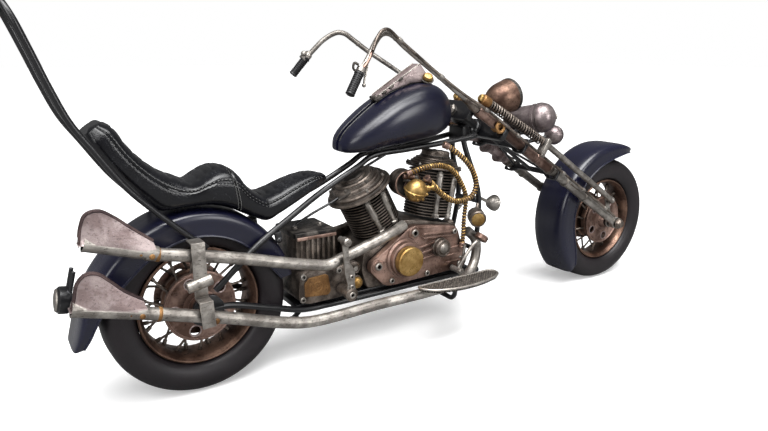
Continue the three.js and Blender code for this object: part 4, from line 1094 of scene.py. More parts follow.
can_start, can_end = Vector((110.6, -6.4, 86.8)), Vector((107.4, -18.8, 87.4))
can = turned([(6.4, 0), (7.1, 0.7), (7.1, 12), (6.6, 12.8), (6.2, 12.6), (6.0, 11.6)], can_start, can_end, 56)
can_rim = ring(can_end - (can_end - can_start).normalized() * 0.4, can_end - can_start, 6.8, 0.45, 56)
can_face = lathe([(0, 11.4), (6.1, 11.4), (6.0, 12.0), (0, 12.1)], can_start, can_end, 48)
neck_pipe = turned([(3, 0), (3, 4), (2.6, 4.4)], (107.6, -18, 86.8), (108, -22, 85.6))
bowl_centre = Vector((108.2, -24, 85.2))
bowl = ball(bowl_centre, 5.9, (0.1, -1, 0), 0.95)
bowl_seam = ring(bowl_centre, (0.1, -0.3, 1), 5.9, 0.45, 48)
nozzle = lathe([(0, 4.8), (1.8, 5), (1.8, 6.8), (1.2, 7), (1.2, 8), (1.7, 8.2), (1.7, 9.2), (0, 9.4)],
               bowl_centre, (113, -26.4, 86), 20)
knobs = [ball(bowl_centre + Vector((4.2 * math.cos(a), -4, 4.2 * math.sin(a))), 0.9, (0, -1, 0))
         for a in (math.radians(degrees) for degrees in (200, 245, 290, 335))]
knobs += [ball((111.6, -27.6, 84 + i * 1.6), 0.8, (1, -1, 0)) for i in range(3)]
rocker = rod((103, -20.2, 92.4), (108.6, -21.8, 91.6), 1.3)
levers = [rod((103.4, -19.8, 90.4), (106.4, -21.4, 89.8), 0.9),
          rod((109, -22.4, 92.4), (109.6, -23, 89.6), 1.2)]
piece("air_cleaner_can", "chassis", {PEWTER: [can], COPPER: [can_rim, neck_pipe, rocker],
                                     IRON: [can_face, *levers], BRASS: [bowl, bowl_seam, nozzle, *knobs]},
      ["air_cleaner"])

box_edge = rounded([(45, 36.4), (50, 33.6), (68.6, 33.6), (74, 36.4), (75, 46), (71, 50.4), (52, 51.6),
                    (46, 49.6)], 2)
gear_case = plate([box_edge], -16.3, 12.3, 0.8)
gear_neck = block(73, 79, -13.8, 9.8, 36, 48, 0.8)
brass_plate = plate([rounded([(48.2, 38), (60.8, 36.8), (62.2, 38.6), (61, 47), (59.4, 47.8), (50.4, 47.4),
                              (48, 45)], 0.7)], -17, -16.2, 0.2)
scroll = [ring((55, -17, 42.2), (0, 1, 0), 2.4, 0.3, 36), ring((55, -17, 42.2), (0, 1, 0), 1.1, 0.25, 24)]
scroll += [bar((50.6 + i * 8.4, -17, 40.2), (51 + i * 8.2, -17, 44.6), 0.5, 0.4, 0.1) for i in range(2)]
screws = sockets(((47, 36.8), (47.6, 48.4), (71, 37.4), (67, 48.2)), -16.2, -1)
round_bolt = turned_across([(3.4, 0), (3.4, 3.4), (2.6, 4), (2.2, 3.6)], (76.8, -12, 47.1), -1, 36)
hex_core = turned_across([(1.3, 0), (1.3, 1.0)], (76.8, -15.6, 47.1), -1, 6)
brass_ball = ball((77.3, -16.6, 39.7), 3.1, (0, -1, 0), 0.9)
ball_socket = turned_across([(3.6, 0), (3.6, 3.4), (2.8, 4)], (77.3, -12, 39.7), -1, 36)
piece("gearbox_case", "chassis", {PEWTER: [gear_case, gear_neck, round_bolt, ball_socket],
                                  RUST: [brass_plate, *scroll], BRASS: [brass_ball],
                                  SILVER: [*screws, hex_core]}, ["gearbox"])

battery = block(46, 67, -13.4, 9.6, 53, 69.2, 0.9)
battery_lid = block(45.4, 67.4, -14.4, 10, 66.6, 69.6, 0.7)
ribs = [bar((48.4 + i * 2.9, -13.9, 54), (48.4 + i * 2.9, -13.9, 66.4), 1.3, 1.2, 0.4, (1, 0, 0))
        for i in range(7)]
lip = bar((46, -14.6, 66.8), (67, -14.6, 66.8), 0.9, 1.6, 0.3)
studs = [part for x in (49.4, 63) for part in hex_bolt((x, -5, 69.6), (0, 0, 1), 1.1, 1.2)]
stays = [tube([(49, -2.6, 69.8), (60, -2.4, 75), (72, -2.2, 79.6), (79.6, -2, 83)], 0.7, 24, 10),
         tube([(90, 4, 92), (106, 4, 99), (124, 4, 106.8)], 0.75, 20, 10)]
piece("battery_case", "chassis", {PEWTER: [battery, *ribs], IRON: [battery_lid], COPPER: [lip],
                                  SILVER: studs}, ["battery_box"])
piece("engine_stays", "chassis", {BLACK: stays})

lever = plate([rounded([(63.6, 66.4), (66.8, 66.4), (67.6, 55), (70.6, 50.6), (70.4, 44), (71.2, 36.6),
                        (68.6, 34.6), (65.6, 36.2), (66.4, 44), (64.8, 50), (64.6, 56)], 1.2)],
              -26.8, -25.6, 0.3)
hub = turned_across([(2.8, 0), (2.8, 9.6), (3.3, 9.8), (3.3, 10.8), (2.4, 11.4)], (68.2, -16.7, 38.6), -1, 32)
peg = turned_across([(1.5, 0), (1.5, 3), (2.1, 3.4), (2.1, 7.4), (1.7, 8)], (65.4, -21.6, 66), -1, 28)
pins = sockets(((68.4, 47.6), (68.6, 42.4)), -26.7, -1, 1.2, 0.8)
pins += socket((68.2, -27.9, 38.6), (0, -1, 0), 1.7, 0.6)
piece("kick_lever_arm", "chassis", {SILVER: [lever, peg, *pins], PEWTER: [hub]},
      ["kick_lever"])

horn_start, horn_end = Vector((157.4, -13.2, 64)), Vector((152.4, -22.8, 62.7))
horn_can = turned([(3.4, 0), (4.2, 1), (4.8, 3), (4.8, 9.2), (4.4, 9.8), (3.9, 9.8), (3.9, 9.2)], horn_start,
                  horn_end, 48)
horn_face = lathe([(0, 9.1), (3.8, 9.1), (3.7, 9.8), (2.4, 10.3), (0, 10.5)], horn_start, horn_end, 48)
horn_stalk = tube([(158, -12, 64.6), (161, -11, 66), (163, -9.6, 68)], 1.1, 16)
piece("horn_can", "chassis", {PEWTER: [horn_can, horn_stalk], BRASS: [horn_face]}, ["horn"])


WIRE_RADIUS = 0.38
WIRE_PITCH = 1.65


def wound_hose(name, route, radius, end_lengths):
    """A hose wound with wire: a dark core, whose dark is partly painted shade between the turns, the open
    coil round it and a ferrule at each end.
    """
    turns = path_length(spline(route, 200)) / WIRE_PITCH
    # Painted shade: the core is coloured dark so that the gaps between the turns of wire read as shade.
    core = tube(route, radius - 0.5, 120, 12)
    wire = sweep(helix(route, radius - WIRE_RADIUS, turns, 10), WIRE_RADIUS, 6)
    ends = [ferrule(route[0], route[1], radius + 0.15, end_lengths[0]),
            ferrule(route[-1], route[-2], radius + 0.15, end_lengths[1])]
    piece(f"{name}_wound", "chassis", {BRASS: [wire], PURPLE: [core], COPPER: ends}, [name])


def ferrule(point, towards, radius, length):
    """The plain metal end of a hose."""
    profile = [(0, 0), (radius, 0), (radius + 0.25, 0.3), (radius + 0.25, 0.9), (radius, 1.1),
               (radius, length - 0.3), (radius - 0.3, length), (0, length)]
    return lathe(profile, point, towards, 24)


oil_route = [(131.2, -16.6, 106), (136, -18.6, 103), (145.2, -20.2, 94.9), (151, -20.6, 85.4),
             (148.8, -21.2, 77.6), (137.3, -22, 75.4), (126.4, -23, 80.4), (118.6, -24.6, 86.8),
             (113.4, -25.4, 91.4)]
wound_hose("oil_hose", oil_route, 1.65, (3.4, 3))

breather_route = [(104, -21.2, 93.4), (113.3, -21.4, 95.6), (126.4, -20, 95.6), (135.6, -18.8, 92.2),
                  (143, -17.8, 84), (146.8, -17.4, 76.7), (147, -17.4, 71), (145.4, -18.4, 64),
                  (144.6, -19, 55), (144, -19.2, 47.6)]
wound_hose("breather_hose", breather_route, 1.55, (3, 3))

# ------------------------------------------------------------------ exhausts

UPPER_Y, LOWER_Y = -21.6, -27.4
PIPE_RADIUS = 2.75
upper_route = [(-24, UPPER_Y, 74.4), (11, UPPER_Y, 66.4), (48, UPPER_Y, 56.2), (58.6, UPPER_Y, 54.2),
               (67, UPPER_Y + 0.6, 56), (94, -20.2, 62.9), (105.4, -17.4, 65.9)]
lower_route = [(-31, LOWER_Y, 52.7), (7, LOWER_Y, 41.2), (32, LOWER_Y, 33), (46, LOWER_Y, 30),
               (84, LOWER_Y, 30.2), (118, LOWER_Y, 30.2), (138, -25, 30.6), (150, -20.6, 34),
               (155.6, -18, 42), (155.4, -17, 50), (149.4, -16.6, 56)]
for name, route, weld_at in (("upper", upper_route, 3), ("lower", lower_route, 4)):
    line = spline(route, 100)
    collar = turned([(2.95, 0), (3.1, 0.5), (2.95, 1.4)], line[weld_at], line[6], 32)
    piece(f"{name}_pipe", "chassis", {SILVER: [tube(route, PIPE_RADIUS, 120, 28)], RUST: [collar]},
          [f"{name}_exhaust"])

upper_top = [(-20.8, 79.4), (-28.6, 85.9), (-34.4, 91.1), (-39.6, 94.4), (-44, 93.6),
             (-46.2, 89.2), (-47.8, 81)]
lower_top = [(-27.8, 57.6), (-34.4, 62.5), (-39.6, 68), (-43.6, 71.6), (-47.6, 71.8), (-50.6, 68.6),
             (-52, 63), (-54.2, 57.4)]


def fishtail(name, y, top, front, low_end):
    """A flattened horn: top is its crest in the side view, front and low_end are its underside's ends."""
    crest = spline([Vector((u, y, v)) for u, v in top], 40)
    low_front = Vector((front[0] + 1.4, y, front[1] + 1.2))
    low_back = Vector((low_end[0], y, low_end[1] + 1.2))
    rings, lips = [], ([], [])
    for i, peak in enumerate(crest):
        base = low_front.lerp(low_back, i / (len(crest) - 1)) + Vector((0, 0, 1.2))
        spread = 1 - 0.35 * i / (len(crest) - 1)
        section = []
        for turn in (-1, 1):
            walls = [(0.0, 2.9), (0.14, 2.95), (0.32, 2.5), (0.55, 2.0), (0.8, 1.5 * spread + 0.3),
                     (0.97, 1.3), (1, 0.8)]
            side_points = [base.lerp(peak, rise) + Vector((0, turn * half, 0)) for rise, half in walls]
            section += side_points if turn < 0 else side_points[::-1]
            lips[(turn + 1) // 2].append(peak + Vector((0, turn * 1.15, 0.1)))
        rings.append(section)
    lip = [sweep(points[::2], 0.4, 8) for points in lips]
    # Painted shade: a dark rod along the crest stands for the shaded opening of the slot.
    slot_shade = sweep([p + Vector((0, 0, -0.05)) for p in crest[:36]], 0.85, 8)
    band = turned([(2.9, 0), (3.05, 0.4), (3.05, 27), (3.3, 28.4), (2.6, 28.4), (2.4, 24)],
                  low_front + Vector((0, 0, 1.5)), low_back + Vector((0.6, 0, 1.4)), 36)
    weld = [ball((front[0] - 5.5, y - 2.7, front[1] + 4.2), 0.8, (0, -1, 0), 0.4),
            ball((front[0] - 1.4, y - 2.9, front[1] + 2.6), 1.2, (0, -1, 0), 0.4)]
    piece(f"{name}_fishtail_shell", "chassis", {PINK_SILVER: [skin(rings)], SILVER: [band],
                                                PURPLE: [*lip, slot_shade], RUST: weld},
          [f"{name}_fishtail"])


fishtail("upper", UPPER_Y, upper_top, (-20.6, 71.0), (-48.2, 80.2))
fishtail("lower", LOWER_Y, lower_top, (-27.6, 49.0), (-54.4, 56.8))

strap = [bar((-4, -25.9, 57), (-4, -25.9, 76.6), 5.8, 1.0, 0.3, (1, 0, 0)),
         bar((-4, -26.3, 76.4), (-4, -18.8, 76.4), 5.8, 0.9, 0.3, (1, 0, 0)),
         bar((-4, -25.4, 52.4), (-4, -32.2, 52.4), 5.8, 0.9, 0.3, (1, 0, 0)),
         bar((-4, -25.6, 52.2), (-4, -25.6, 57.4), 5.8, 0.9, 0.3, (1, 0, 0)),
         bar((-4, -31.9, 52.8), (-3.4, -31.9, 41), 5.8, 0.9, 0.3, (1, 0, 0))]
roller = turned([(2.3, 0), (2.5, 0.3), (2.5, 10.4), (2.3, 10.7)], (-9.6, -25.4, 57.8), (1, -25.4, 60), 32)
strap_rust = ball((0.4, -30.4, 42.4), 1.3, (0, -1, 0), 0.5)
piece("exhaust_hanger", "chassis", {SILVER: [*strap, roller], RUST: [strap_rust]},
      ["exhaust_strap"])

# ------------------------------------------------------------------ foot controls

for name, side in SIDES:
    edge = [(105.2, 31.2), (153.6, 31.2), (155.6, 34.4), (154.4, 38), (149.6, 41)]
    edge += [(p.x, p.y) for p in spline([(149.6, 41, 0), (140, 43.4, 0), (129, 44.3, 0), (118, 43, 0),
                                         (111, 40.6, 0)], 18)]
    edge += [(107, 37.4), (105, 34)]
    board_plane = Matrix(((1, 0, 0, 0), (0, side, 0, 0), (0, 0, 1, 0), (0, 0, 0, 1)))
    outline = rounded(edge, 1.4)
    board = plate([outline], 34.5, 36.3, 0.3, board_plane)
    rail = [Vector((u, side * v, 36.1)) for u, v in outline]
    rim = sweep(rail + [rail[0]], 0.6, 8)
    arm = tube([(128, side * 33.4, 34.6), (128, side * 33.2, 28), (128, side * 31, 25.4),
                (128, side * 25, 25), (128, side * 13.6, 25.4)], 1.3, 36)
    clip = [bar((118, side * 32, 33.6), (146, side * 32, 33.6), 2.2, 1.6),
            rod((137, side * 31.6, 32), (137, side * 20, 31), 0.9)]
    piece(f"foot_board_{name}_plate", "chassis", {HATCH: [board], SILVER: [rim], BLACK: [arm, *clip]},
          [f"foot_board_{name}"])

pedal = [tube([(137.6, -23.4, 36.6), (141, -24, 42), (148, -24.2, 50), (153.4, -24.2, 52.8)], 1.0, 30),
         tube([(140.6, -21.8, 36.2), (142.6, -22, 43), (143.6, -22, 50)], 0.8, 20),
         rod((137.8, -18.4, 36.8), (137.8, -26, 36.8), 1.6)]
pedal += [rod((139.4, -22.6, 44), (144.2, -22.6, 41.6), 0.8),
          *hex_bolt((137.8, -26, 36.8), (0, -1, 0), 1.6, 1)]
pad = lathe([(0, 0), (3.3, 0), (3.8, 0.5), (3.8, 2.6), (3.3, 3.2), (0, 3.3)], (152.6, -24.2, 51.8),
            (154.8, -24.2, 54.6), 40)
piece("brake_pedal_linkage", "chassis", {SILVER: pedal, COPPER: [pad]}, ["brake_pedal"])

# ------------------------------------------------------------------ sissy bar and lamps

lower = [(-1.8, 74.6), (-17.9, 90.3), (-27.9, 101.4), (-38.2, 117), (-44.8, 127.4), (-49.8, 139.6),
         (-54.6, 153.4), (-58.6, 164.4)]
route = [(x, -15.9, z) for x, z in lower] + [(-60.9, -13, 169.6), (-61.8, -7, 171.6), (-61.8, 7, 171.6),
                                             (-60.9, 13, 169.6)] + [(x, 15.9, z) for x, z in reversed(lower)]
hoop = tube(route, 1.28, 200, 16)
feet = [bar((-2.6, side * 15.9, 75.4), (2.4, side * 16.0, 70.4), 2.6, 3.4, 0.4) for side in (-1, 1)]
piece("sissy_hoop", "chassis", {BLACK: [hoop, *feet]}, ["sissy_bar"])

lamp_front, lamp_back = (-50.8, 0, 53.2), (-57, 0, 54.2)
lamp_can = turned([(5, 0), (5.8, 1.4), (5.8, 4.6), (5, 5.4)], lamp_front, lamp_back, 48)
lamp_face = lathe([(0, 5.2), (4.6, 5.2), (4.9, 5.6), (4.6, 6.1), (3, 6.4), (0, 6.5)], lamp_front,
                  lamp_back, 48)
lamp_rods = [rod((-51.2, y, 57), (-48.8, y, 66), 0.9) for y in (-3, 3)]
lamp_rods += [rod((-51.6, -3.4, 57), (-51.6, 3.4, 57), 1.1)]
piece("tail_lamp_can", "chassis", {BLACK: [lamp_can, *lamp_rods], SILVER: [lamp_face]},
      ["tail_lamp"])

bowl_back, bowl_front = (194, 16, 59.6), (200, 16.4, 58.6)
bowl = turned([(1.2, 0), (2.2, 0.6), (3.6, 2.2), (4.7, 4.4), (5.3, 6), (5.4, 6.6), (5.0, 6.6), (4.6, 6)],
              bowl_back, bowl_front, 48)
glass = lathe([(0, 5.9), (4.6, 5.9), (3.6, 6.6), (0, 6.9)], bowl_back, bowl_front, 48)
arm = tube([(167, 12.6, 60), (175, 14.6, 64.6), (186, 16, 64), (194.8, 16, 59.9)], 1.0, 36)
piece("side_lamp_bowl", "chassis", {SILVER: [bowl, arm], GLASS: [glass]}, ["side_lamp"])

# ------------------------------------------------------------------ fork


FORK_PLANE = Matrix.Translation(on_fork(0, 0, 0)) @ Matrix((
    (FORK_FRONT.x, 0, UP_FORK.x, 0), (0, 1, 0, 0), (FORK_FRONT.z, 0, UP_FORK.z, 0), (0, 0, 0, 1)))
LEG_HOLES = [circle(0, side * LEG_Y, 3.5, 24) for _, side in SIDES]


def fork_plate(s_low, s_high, n_low, n_high, half_width, holes=()):
    """A plate across the fork with round corners."""
    corners = [(n_low, -half_width), (n_high, -half_width), (n_high, half_width), (n_low, half_width)]
    return plate([rounded(corners, 3), *holes], s_low, s_high, 0.35, FORK_PLANE)


def fork_strap(s_low, s_high):
    """A waisted strap that ties the two legs together."""
    front = [(4.6, 22), (4.6, 15), (1.0, 11), (1.0, -11), (4.6, -15), (4.6, -22)]
    back = [(-4.6, -22), (-4.6, -15), (-2.2, -11), (-2.2, 11), (-4.6, 15), (-4.6, 22)]
    return plate([rounded(front + back, 1.2), *LEG_HOLES], s_low, s_high, 0.3, FORK_PLANE)


trees = [fork_plate(126.4, 129.6, -6.4, 4, 22.4, LEG_HOLES), fork_plate(148, 151.2, -7, 4, 14.6),
         fork_strap(108, 109.8), fork_strap(74, 75.6)]
stem = rod(on_fork(128, -3, 0), on_fork(153, -3, 0), 2.4, 32)
crown_nut = turned([(3.4, 0), (3.4, 2), (2.6, 2.6)], on_fork(151, -3, 0), on_fork(156, -3, 0), 6)
spine = rod(on_fork(74, -1, 0), on_fork(128, -1, 0), 1.1)
webs = [rod(on_fork(76, -1, side * 14), on_fork(107, -1, side * 1.2), 0.7) for side in (-1, 1)]
webs += [rod(on_fork(110, -1, side * 14), on_fork(126, -1, side * 6), 0.8) for side in (-1, 1)]
piece("fork_yokes", "fork", {BLACK: [*trees, spine, stem, *webs], SILVER: [crown_nut]},
      ["fork_trees"])

# The hand-bent bars: each one's run above the fork, and the two ends of its grip.
BAR_RUNS = {"right": [(123, -18, 143), (112.1, -18.6, 149.9), (102.4, -19.4, 156.2), (96.7, -20, 160.2),
                      (92.3, -20.8, 161.5), (87.9, -22.4, 160.5), (83, -25, 156.6), (78.2, -28, 151.2),
                      (74.2, -30, 147), (72, -30.7, 144.8)], "left": [(129.8, 18, 139.8), (117.7, 19, 147.1),
                                                                      (106, 20, 154), (97.6, 20.6, 159.6),
                                                                      (94, 21.2, 162), (90.5, 22, 162.7),
                                                                      (87.5, 23.6, 161.7), (82.9, 26, 158.4),
                                                                      (80, 28, 155), (76.6, 30.4, 150.8)],}
BAR_RADIUS = 1.28
GRIP_ENDS = {"right": ((71.4, -30.9, 144.2), (65.2, -32.6, 134.8)),
             "left": ((75.8, 30.8, 150), (68.9, 33, 141.4))}

def fork_leg(name, side):
    """One telescopic leg: a slider with a flat foot, its clamp, and the sleeve up to the cap."""
    y = side * LEG_Y
    foot, above = on_fork(0, 0, y), on_fork(1, 0, y)

    def on_leg(profile, segments=32):
        return turned(profile, foot, above, segments)

    slider = on_leg([(2.7, 3), (2.7, 70), (2.9, 71), (2.9, 78.6)])
    eye = lathe_across([(2.6, -1.8), (3.5, -1.8), (3.8, -1.4), (3.8, 1.4), (3.5, 1.8),
                        (2.6, 1.8)], foot, 1, 40)
    paddle = bar(on_fork(3, 0, y), on_fork(24, 0, y), 2.6, 5.2, 0.8)
    groove = bar(on_fork(8, 0.2, y + side * 1.6), on_fork(60, 0.2, y + side * 2.6), 0.5, 1.0, 0.15)
    clamp = on_leg([(3.3, 79), (3.4, 79.4), (3.4, 81.2), (3.2, 81.6)])
    sleeve = on_leg([(3.1, 81.6), (3.1, 94), (3.35, 94.3), (3.35, 96), (3.1, 96.3), (3.1, 124),
                     (3.4, 124.6), (3.4, 126.4), (3.1, 127), (3.1, 131)])
    top_nut = on_leg([(3.5, 131), (3.6, 131.4), (3.6, 134), (3.2, 134.6)], 6)
    cap = lathe([(0, 134.6), (2.9, 134.6), (2.9, 148.6), (2.2, 149.8), (0, 150)], foot, above, 32)
    hoop = ring(on_fork(133.4, -1, y + side * 4), (0, 1, 0), 2.6, 1.0, 32, 12)
    bands = [on_leg([(3.3, s), (3.3, s + 1)]) for s in (40, 62)]
    upper, finish = [sleeve, cap], COPPER
    if side > 0:
        finish = PINK_SILVER
        upper += [on_leg([(3.4, s), (5.2, s + 4), (5.6, s + 5), (3.6, s + 5.4)])
                  for s in (84, 97, 112)]
    piece(f"fork_leg_{name}_tube", "fork",
          {SILVER: [slider, eye, paddle, *bands], PEWTER: [groove, clamp], finish: upper,
           RUST: [hoop, top_nut]}, [f"fork_leg_{name}"])


def spring_strut(name, side):
    """The open spring in front of a leg's sleeve, and the plain strut below it down to the axle."""
    low, high = on_fork(94, 11, side * 15.6), on_fork(140, 9.6, side * 11)
    top = on_fork(146, 9.4, side * 10.4)
    coil = sweep(helix([low, low.lerp(high, 0.5), high], 2.35, 24, 14), 0.5, 8)
    guide = rod(low, top, 1.2, 20)
    nut = turned([(2.9, 0), (3.1, 0.4), (3.1, 5), (2.6, 5.6)], on_fork(139.2, 9.6, side * 11.06), top, 28)
    nut_top = turned([(2.4, 0), (2.4, 1.4), (1.6, 2)], on_fork(144.6, 9.45, side * 10.6),
                     on_fork(150, 9.3, side * 10), 6)
    strut_foot = on_fork(12, 11, side * 17)
    strut = rod(strut_foot, on_fork(92, 11, side * 17), 1.85, 24)
    strut_end = ball(strut_foot, 2.3, (0, 1, 0))
    eye = lathe_across([(2.7, -0.6), (4.0, -0.6), (4.2, -0.3), (4.2, 0.3), (4.0, 0.6), (2.7, 0.6)],
                       on_fork(0, 0, side * 14.2), 1, 36)
    link = bar(on_fork(3.4, 2.6, side * 14.2), on_fork(14, 11, side * 14.2), 1.2, 3.4, 0.3)
    pin = rod(on_fork(13, 11, side * 14), on_fork(13, 11, side * 18), 1.6)
    bracket = bar(on_fork(91, 3.6, side * 16.7), on_fork(91, 14.2, side * 16.7), 5.2, 3.4, 0.5)
    piece(f"spring_strut_{name}_parts", "fork",
          {SILVER: [strut, strut_end, eye, link, pin, bracket], PEWTER: [coil], IRON: [guide], RUST: [nut],
           BRASS: [nut_top]}, [f"spring_strut_{name}"])


def right_controls(grip_start):
    """The lever in front of the right grip, and the small switch loop behind it."""
    blade_route = [grip_start + Vector(v) for v in ((0.6, 0, 2.2), (3.2, 0.6, 4.4), (4.6, 1, 3.4),
                                                    (3.8, 0.6, 0.4), (2.6, 0.3, -3.4), (2.2, 0, -5.6))]
    switch_route = [grip_start + Vector(v) for v in ((-1.4, 0, 0.4), (-3.2, 0, 1.8), (-2.6, 0, 4.2),
                                                     (-0.6, 0, 3.4))]
    lever = [tube(blade_route, 0.55, 30, 10), ball(blade_route[-1], 0.95, (0, 0, 1))]
    return lever, [tube(switch_route, 0.6, 16, 8)]


def left_controls(grip_start):
    """The block and the ball that clamp the left grip."""
    return [bar(grip_start + Vector((-2.6, 0, -0.6)), grip_start + Vector((2.2, 0, 2.4)), 3.6, 3.2, 0.6),
            ball(grip_start + Vector((-2, -1.4, 2)), 1.5, (0, 0, 1))], []


def handlebar(name, side):
    """A bar from its riser to the perch of its grip, with two welded joints."""
    route = [on_fork(150.3, 0, side * LEG_Y), on_fork(160, 0.4, side * 17.4), *BAR_RUNS[name]]
    line = spline(route, 60)
    riser = turned([(2.6, 0), (2.6, 5), (2.0, 6.4), (2.0, 9.6)], on_fork(150.6, 0, side * 17.9),
                   on_fork(160, 0.4, side * 17.4), 28)
    joints = [turned([(1.3, 0), (1.42, 0.3), (1.42, 1.0), (1.3, 1.3)], line[i], line[i + 1], 24)
              for i in (18, 38)]
    grip_start, grip_end = (Vector(p) for p in GRIP_ENDS[name])
    perch = turned([(1.9, -2.4), (2.1, -2), (2.1, -0.2)], grip_start, grip_end, 28)
    lever, switch = right_controls(grip_start) if side < 0 else left_controls(grip_start)
    piece(f"handlebar_{name}_tube", "fork",
          {SILVER: [tube(route, BAR_RADIUS, 120, 18), perch, *joints, *lever], IRON: switch, PEWTER: [riser]},
          [f"handlebar_{name}"])


def grip(name):
    """A ribbed rubber grip."""
    profile = [(0, 0), (2.0, 0), (2.3, 0.3), (2.3, 1.0), (1.95, 1.2)]
    for i in range(9):
        profile += [(1.95, 1.5 + i), (2.15, 1.7 + i), (2.15, 2.1 + i), (1.95, 2.3 + i)]
    profile += [(2.2, 10.8), (2.2, 11.2), (1.4, 11.6), (0, 11.6)]
    piece(f"grip_{name}_rubber", "fork", {GRIP: [lathe(profile, *GRIP_ENDS[name], 40)]},
          [f"grip_{name}"])


for name, side in SIDES:
    fork_leg(name, side)
    spring_strut(name, side)
    handlebar(name, side)
    grip(name)

cable_route = [on_fork(9, 1.6, -22.6), on_fork(40, 1.6, -23.2), on_fork(110, 1.2, -24),
               on_fork(150, 1.4, -22.6), (138, -22.2, 132.6), (119.1, -22.2, 144.6), (108.6, -22.8, 151.5),
               (97.2, -23.6, 159), (92.5, -24.2, 162.3), (89.8, -24.8, 163.2), (86.2, -25.8, 162.2),
               (81.6, -28.4, 158), (78.6, -30.6, 153.6)]
cable = tube(cable_route, 0.75, 170, 12)
cable_points = spline(cable_route, 60)
sleeves = [turned([(0.95, 0), (1.1, 0.3), (1.1, 2.4), (0.95, 2.7)], cable_points[i], cable_points[i + 1], 16)
           for i in (3, 10, 16, 22, 28, 35, 44, 52)]
loop = tube([(82.4, -27.4, 158), (79, -29.2, 153.4), (76.4, -30.6, 149.6), (73.4, -31.4, 146.6),
             (71.6, -31.8, 145.4)], 0.6, 40, 10)
piece("brake_cable_sleeved", "fork", {PEWTER: [cable], SILVER: sleeves, COPPER: [loop]},
      ["brake_cable"])

lamp_start, lamp_end = Vector((176.6, 0, 124.6)), Vector((195.5, 0, 128.9))
bowl_curve = smooth_rows([(0.01, 0), (3.6, 0.6), (6.8, 3.4), (8.8, 8), (9.6, 14), (9.8, 16.2)], 36)
bowl = lathe([tuple(p) for p in bowl_curve] + [(9.2, 16.2), (9.2, 15.6), (0, 15.6)], lamp_start, lamp_end, 72)
bezel = lathe([(9.2, 15.8), (9.9, 15.8), (10, 16.4), (10, 17.6), (9.6, 18.2), (9, 18.2), (8.8, 17.4)],
              lamp_start, lamp_end, 72)
glass = lathe([(0, 16.8), (9.1, 16.8), (8.4, 17.9), (6.4, 18.8), (3.4, 19.4), (0, 19.6)], lamp_start,
              lamp_end, 64)
stalk = tube([(178.6, 0, 124.8), (174, 0, 121.4), on_fork(131.6, 6.2, 0)], 1.7, 24)
piece("headlight_bowl", "fork", {BRONZE: [stalk, bowl], IRON: [bezel], GLASS: [glass]},
      ["headlight"])

can_start, can_end = Vector((204, 11, 110.5)), Vector((217.4, -21.5, 117.6))
can_axis = (can_end - can_start).normalized()
can = lathe([(0, 0), (7.8, 0), (8.6, 0.9), (8.6, 17.6), (8.95, 17.9), (8.95, 18.7), (8.5, 19), (8.5, 20.4),
             (9.05, 20.8), (9.1, 22.6), (8.9, 23.2), (8.5, 24.6), (7.6, 26.4), (6.2, 27.9), (4.2, 29.1),
             (2, 29.8), (0, 30)], can_start, can_end, 72)
groove = ring(can_start + can_axis * 20.7, can_axis, 8.75, 0.35, 72)
pip_spot = can_start + can_axis * 28.4 + Vector((4.6, 1.2, -0.6))
pip = ring(pip_spot, can_axis + Vector((0.7, 0, 0)), 1.2, 0.4, 28)
pip_core = ball(pip_spot, 0.7, (0, -1, 0))
strut = rod((206.6, 0, 108), on_fork(107.6, 5.8, 0), 1.6, 20)
saddle = bar((200, -3, 106), (207, -3, 104.6), 2, 1.4, 0.3)
piece("spot_canister_shell", "fork", {SMOKE: [can], SILVER: [pip], IRON: [groove, pip_core],
                                      BLACK: [strut, saddle]}, ["spot_canister"])
lamp_centre = (233.4, 0, 102)
lamp = ball(lamp_centre, 6.1, (1, 0, 0))
seam = ring(lamp_centre, (1, 0, 0), 6.05, 0.25, 48)
arm = tube([(231, 1, 101.6), (216, 4, 98.8), (202, 6, 99.4), on_fork(108.9, 5.7, 6)], 1.2, 40, 12)
piece("ball_lamp_shell", "fork", {SMOKE: [lamp, seam], BLACK: [arm]}, ["ball_lamp"])

# ------------------------------------------------------------------ side stand

pivot, foot = Vector((74.5, 18.2, 27.2)), Vector((66.5, 40, 0))
stand = [rod(pivot + Vector((-0.6, 1.8, -1.6)), foot + Vector((0, -1, 1.6)), 1.5, 20),
         ball(pivot + Vector((0, 1.4, 0)), 2.4, (0, 1, 0)),
         plate([rounded([(62.2, 37), (70.8, 37), (70.8, 43), (62.2, 43)], 2)], 0.05, 1.6, 0.3,
               Matrix.Identity(4))]
piece("side_stand_leg", "side_stand", {BLACK: stand}, ["side_stand"])

# ------------------------------------------------------------------ floor, light and camera

FLOOR_REACH = 6.0
WHITE = (1, 1, 1, 1)


def ray_switch(tree, socket, unseen, seen):
    """Gives a socket one number for the camera's own rays and another for all the rest."""
    ray = tree.nodes.new("ShaderNodeLightPath")
    switch = tree.nodes.new("ShaderNodeMapRange")
    switch.inputs["To Min"].default_value = unseen
    switch.inputs["To Max"].default_value = seen
    tree.links.new(ray.outputs["Is Camera Ray"], switch.inputs["Value"])
    tree.links.new(switch.outputs["Result"], socket)


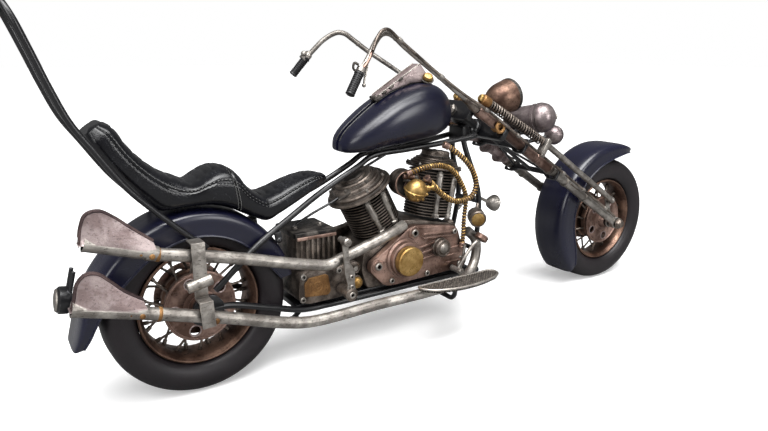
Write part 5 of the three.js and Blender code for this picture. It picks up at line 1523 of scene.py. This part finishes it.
def pale_floor():
    """A plain floor that looks pale but throws little light back at the model."""
    look = bpy.data.materials.new("pale_floor")
    look.use_nodes = True
    tree = look.node_tree
    shader = tree.nodes["Principled BSDF"]
    shader.inputs["Roughness"].default_value = 0.9
    shader.inputs["Specular IOR Level"].default_value = 0.0
    shader.inputs["Emission Color"].default_value = WHITE
    ray_switch(tree, shader.inputs["Base Color"], 0.22, 0.9)
    ray_switch(tree, shader.inputs["Emission Strength"], 0.0, 0.3)
    mesh = bpy.data.meshes.new("floor")
    corners = [(x * FLOOR_REACH, y * FLOOR_REACH, 0) for x, y in ((-1, -1), (1, -1), (1, 1), (-1, 1))]
    mesh.from_pydata(corners, [], [(0, 1, 2, 3)])
    mesh.materials.append(look)
    floor = bpy.data.objects.new("floor", mesh)
    bpy.context.scene.collection.objects.link(floor)


pale_floor()


def light(name, kind, energy, place, **settings):
    """A lamp that looks at the middle of the model."""
    data = bpy.data.lights.new(name, kind)
    data.energy = energy
    for key, value in settings.items():
        setattr(data, key, value)
    thing = bpy.data.objects.new(name, data)
    bpy.context.scene.collection.objects.link(thing)
    thing.location = place
    thing.rotation_euler = (Vector((0, 0, 0.08)) - Vector(place)).to_track_quat("-Z", "Y").to_euler()


light("soft_sun", "SUN", 3.0, (-0.4, -0.5, 1.5), angle=math.radians(50))
light("overhead_box", "AREA", 7, (0.0, -0.25, 0.85), shape="RECTANGLE", size=0.7, size_y=0.5)
light("front_box", "AREA", 3.5, (0.35, -0.95, 0.42), shape="RECTANGLE", size=0.35, size_y=0.5)
light("left_box", "AREA", 3, (-0.85, -0.5, 0.45), shape="RECTANGLE", size=0.4, size_y=0.5)

world = bpy.data.worlds.new("studio")
bpy.context.scene.world = world
world.use_nodes = True
sky = world.node_tree.nodes["Background"]
sky.inputs["Color"].default_value = WHITE
ray_switch(world.node_tree, sky.inputs["Strength"], 0.18, 1.0)
bpy.context.scene.view_settings.view_transform = "Standard"

# The photograph's view: from behind on the right side, looking down a little.
CAMERA_PLACE = (-74.21, -274.24, 153.62)
CAMERA_DOWN, CAMERA_ROLL, CAMERA_HEADING = 14.77, -0.115, -33.07
lens = bpy.data.cameras.new("camera")
lens.lens = 29.31
lens.sensor_width = 36
lens.clip_start = 0.01
camera = bpy.data.objects.new("camera", lens)
bpy.context.scene.collection.objects.link(camera)
camera.location = at(CAMERA_PLACE)
camera.rotation_euler = [math.radians(turn) for turn in (90 - CAMERA_DOWN, CAMERA_ROLL, CAMERA_HEADING)]
bpy.context.scene.camera = camera
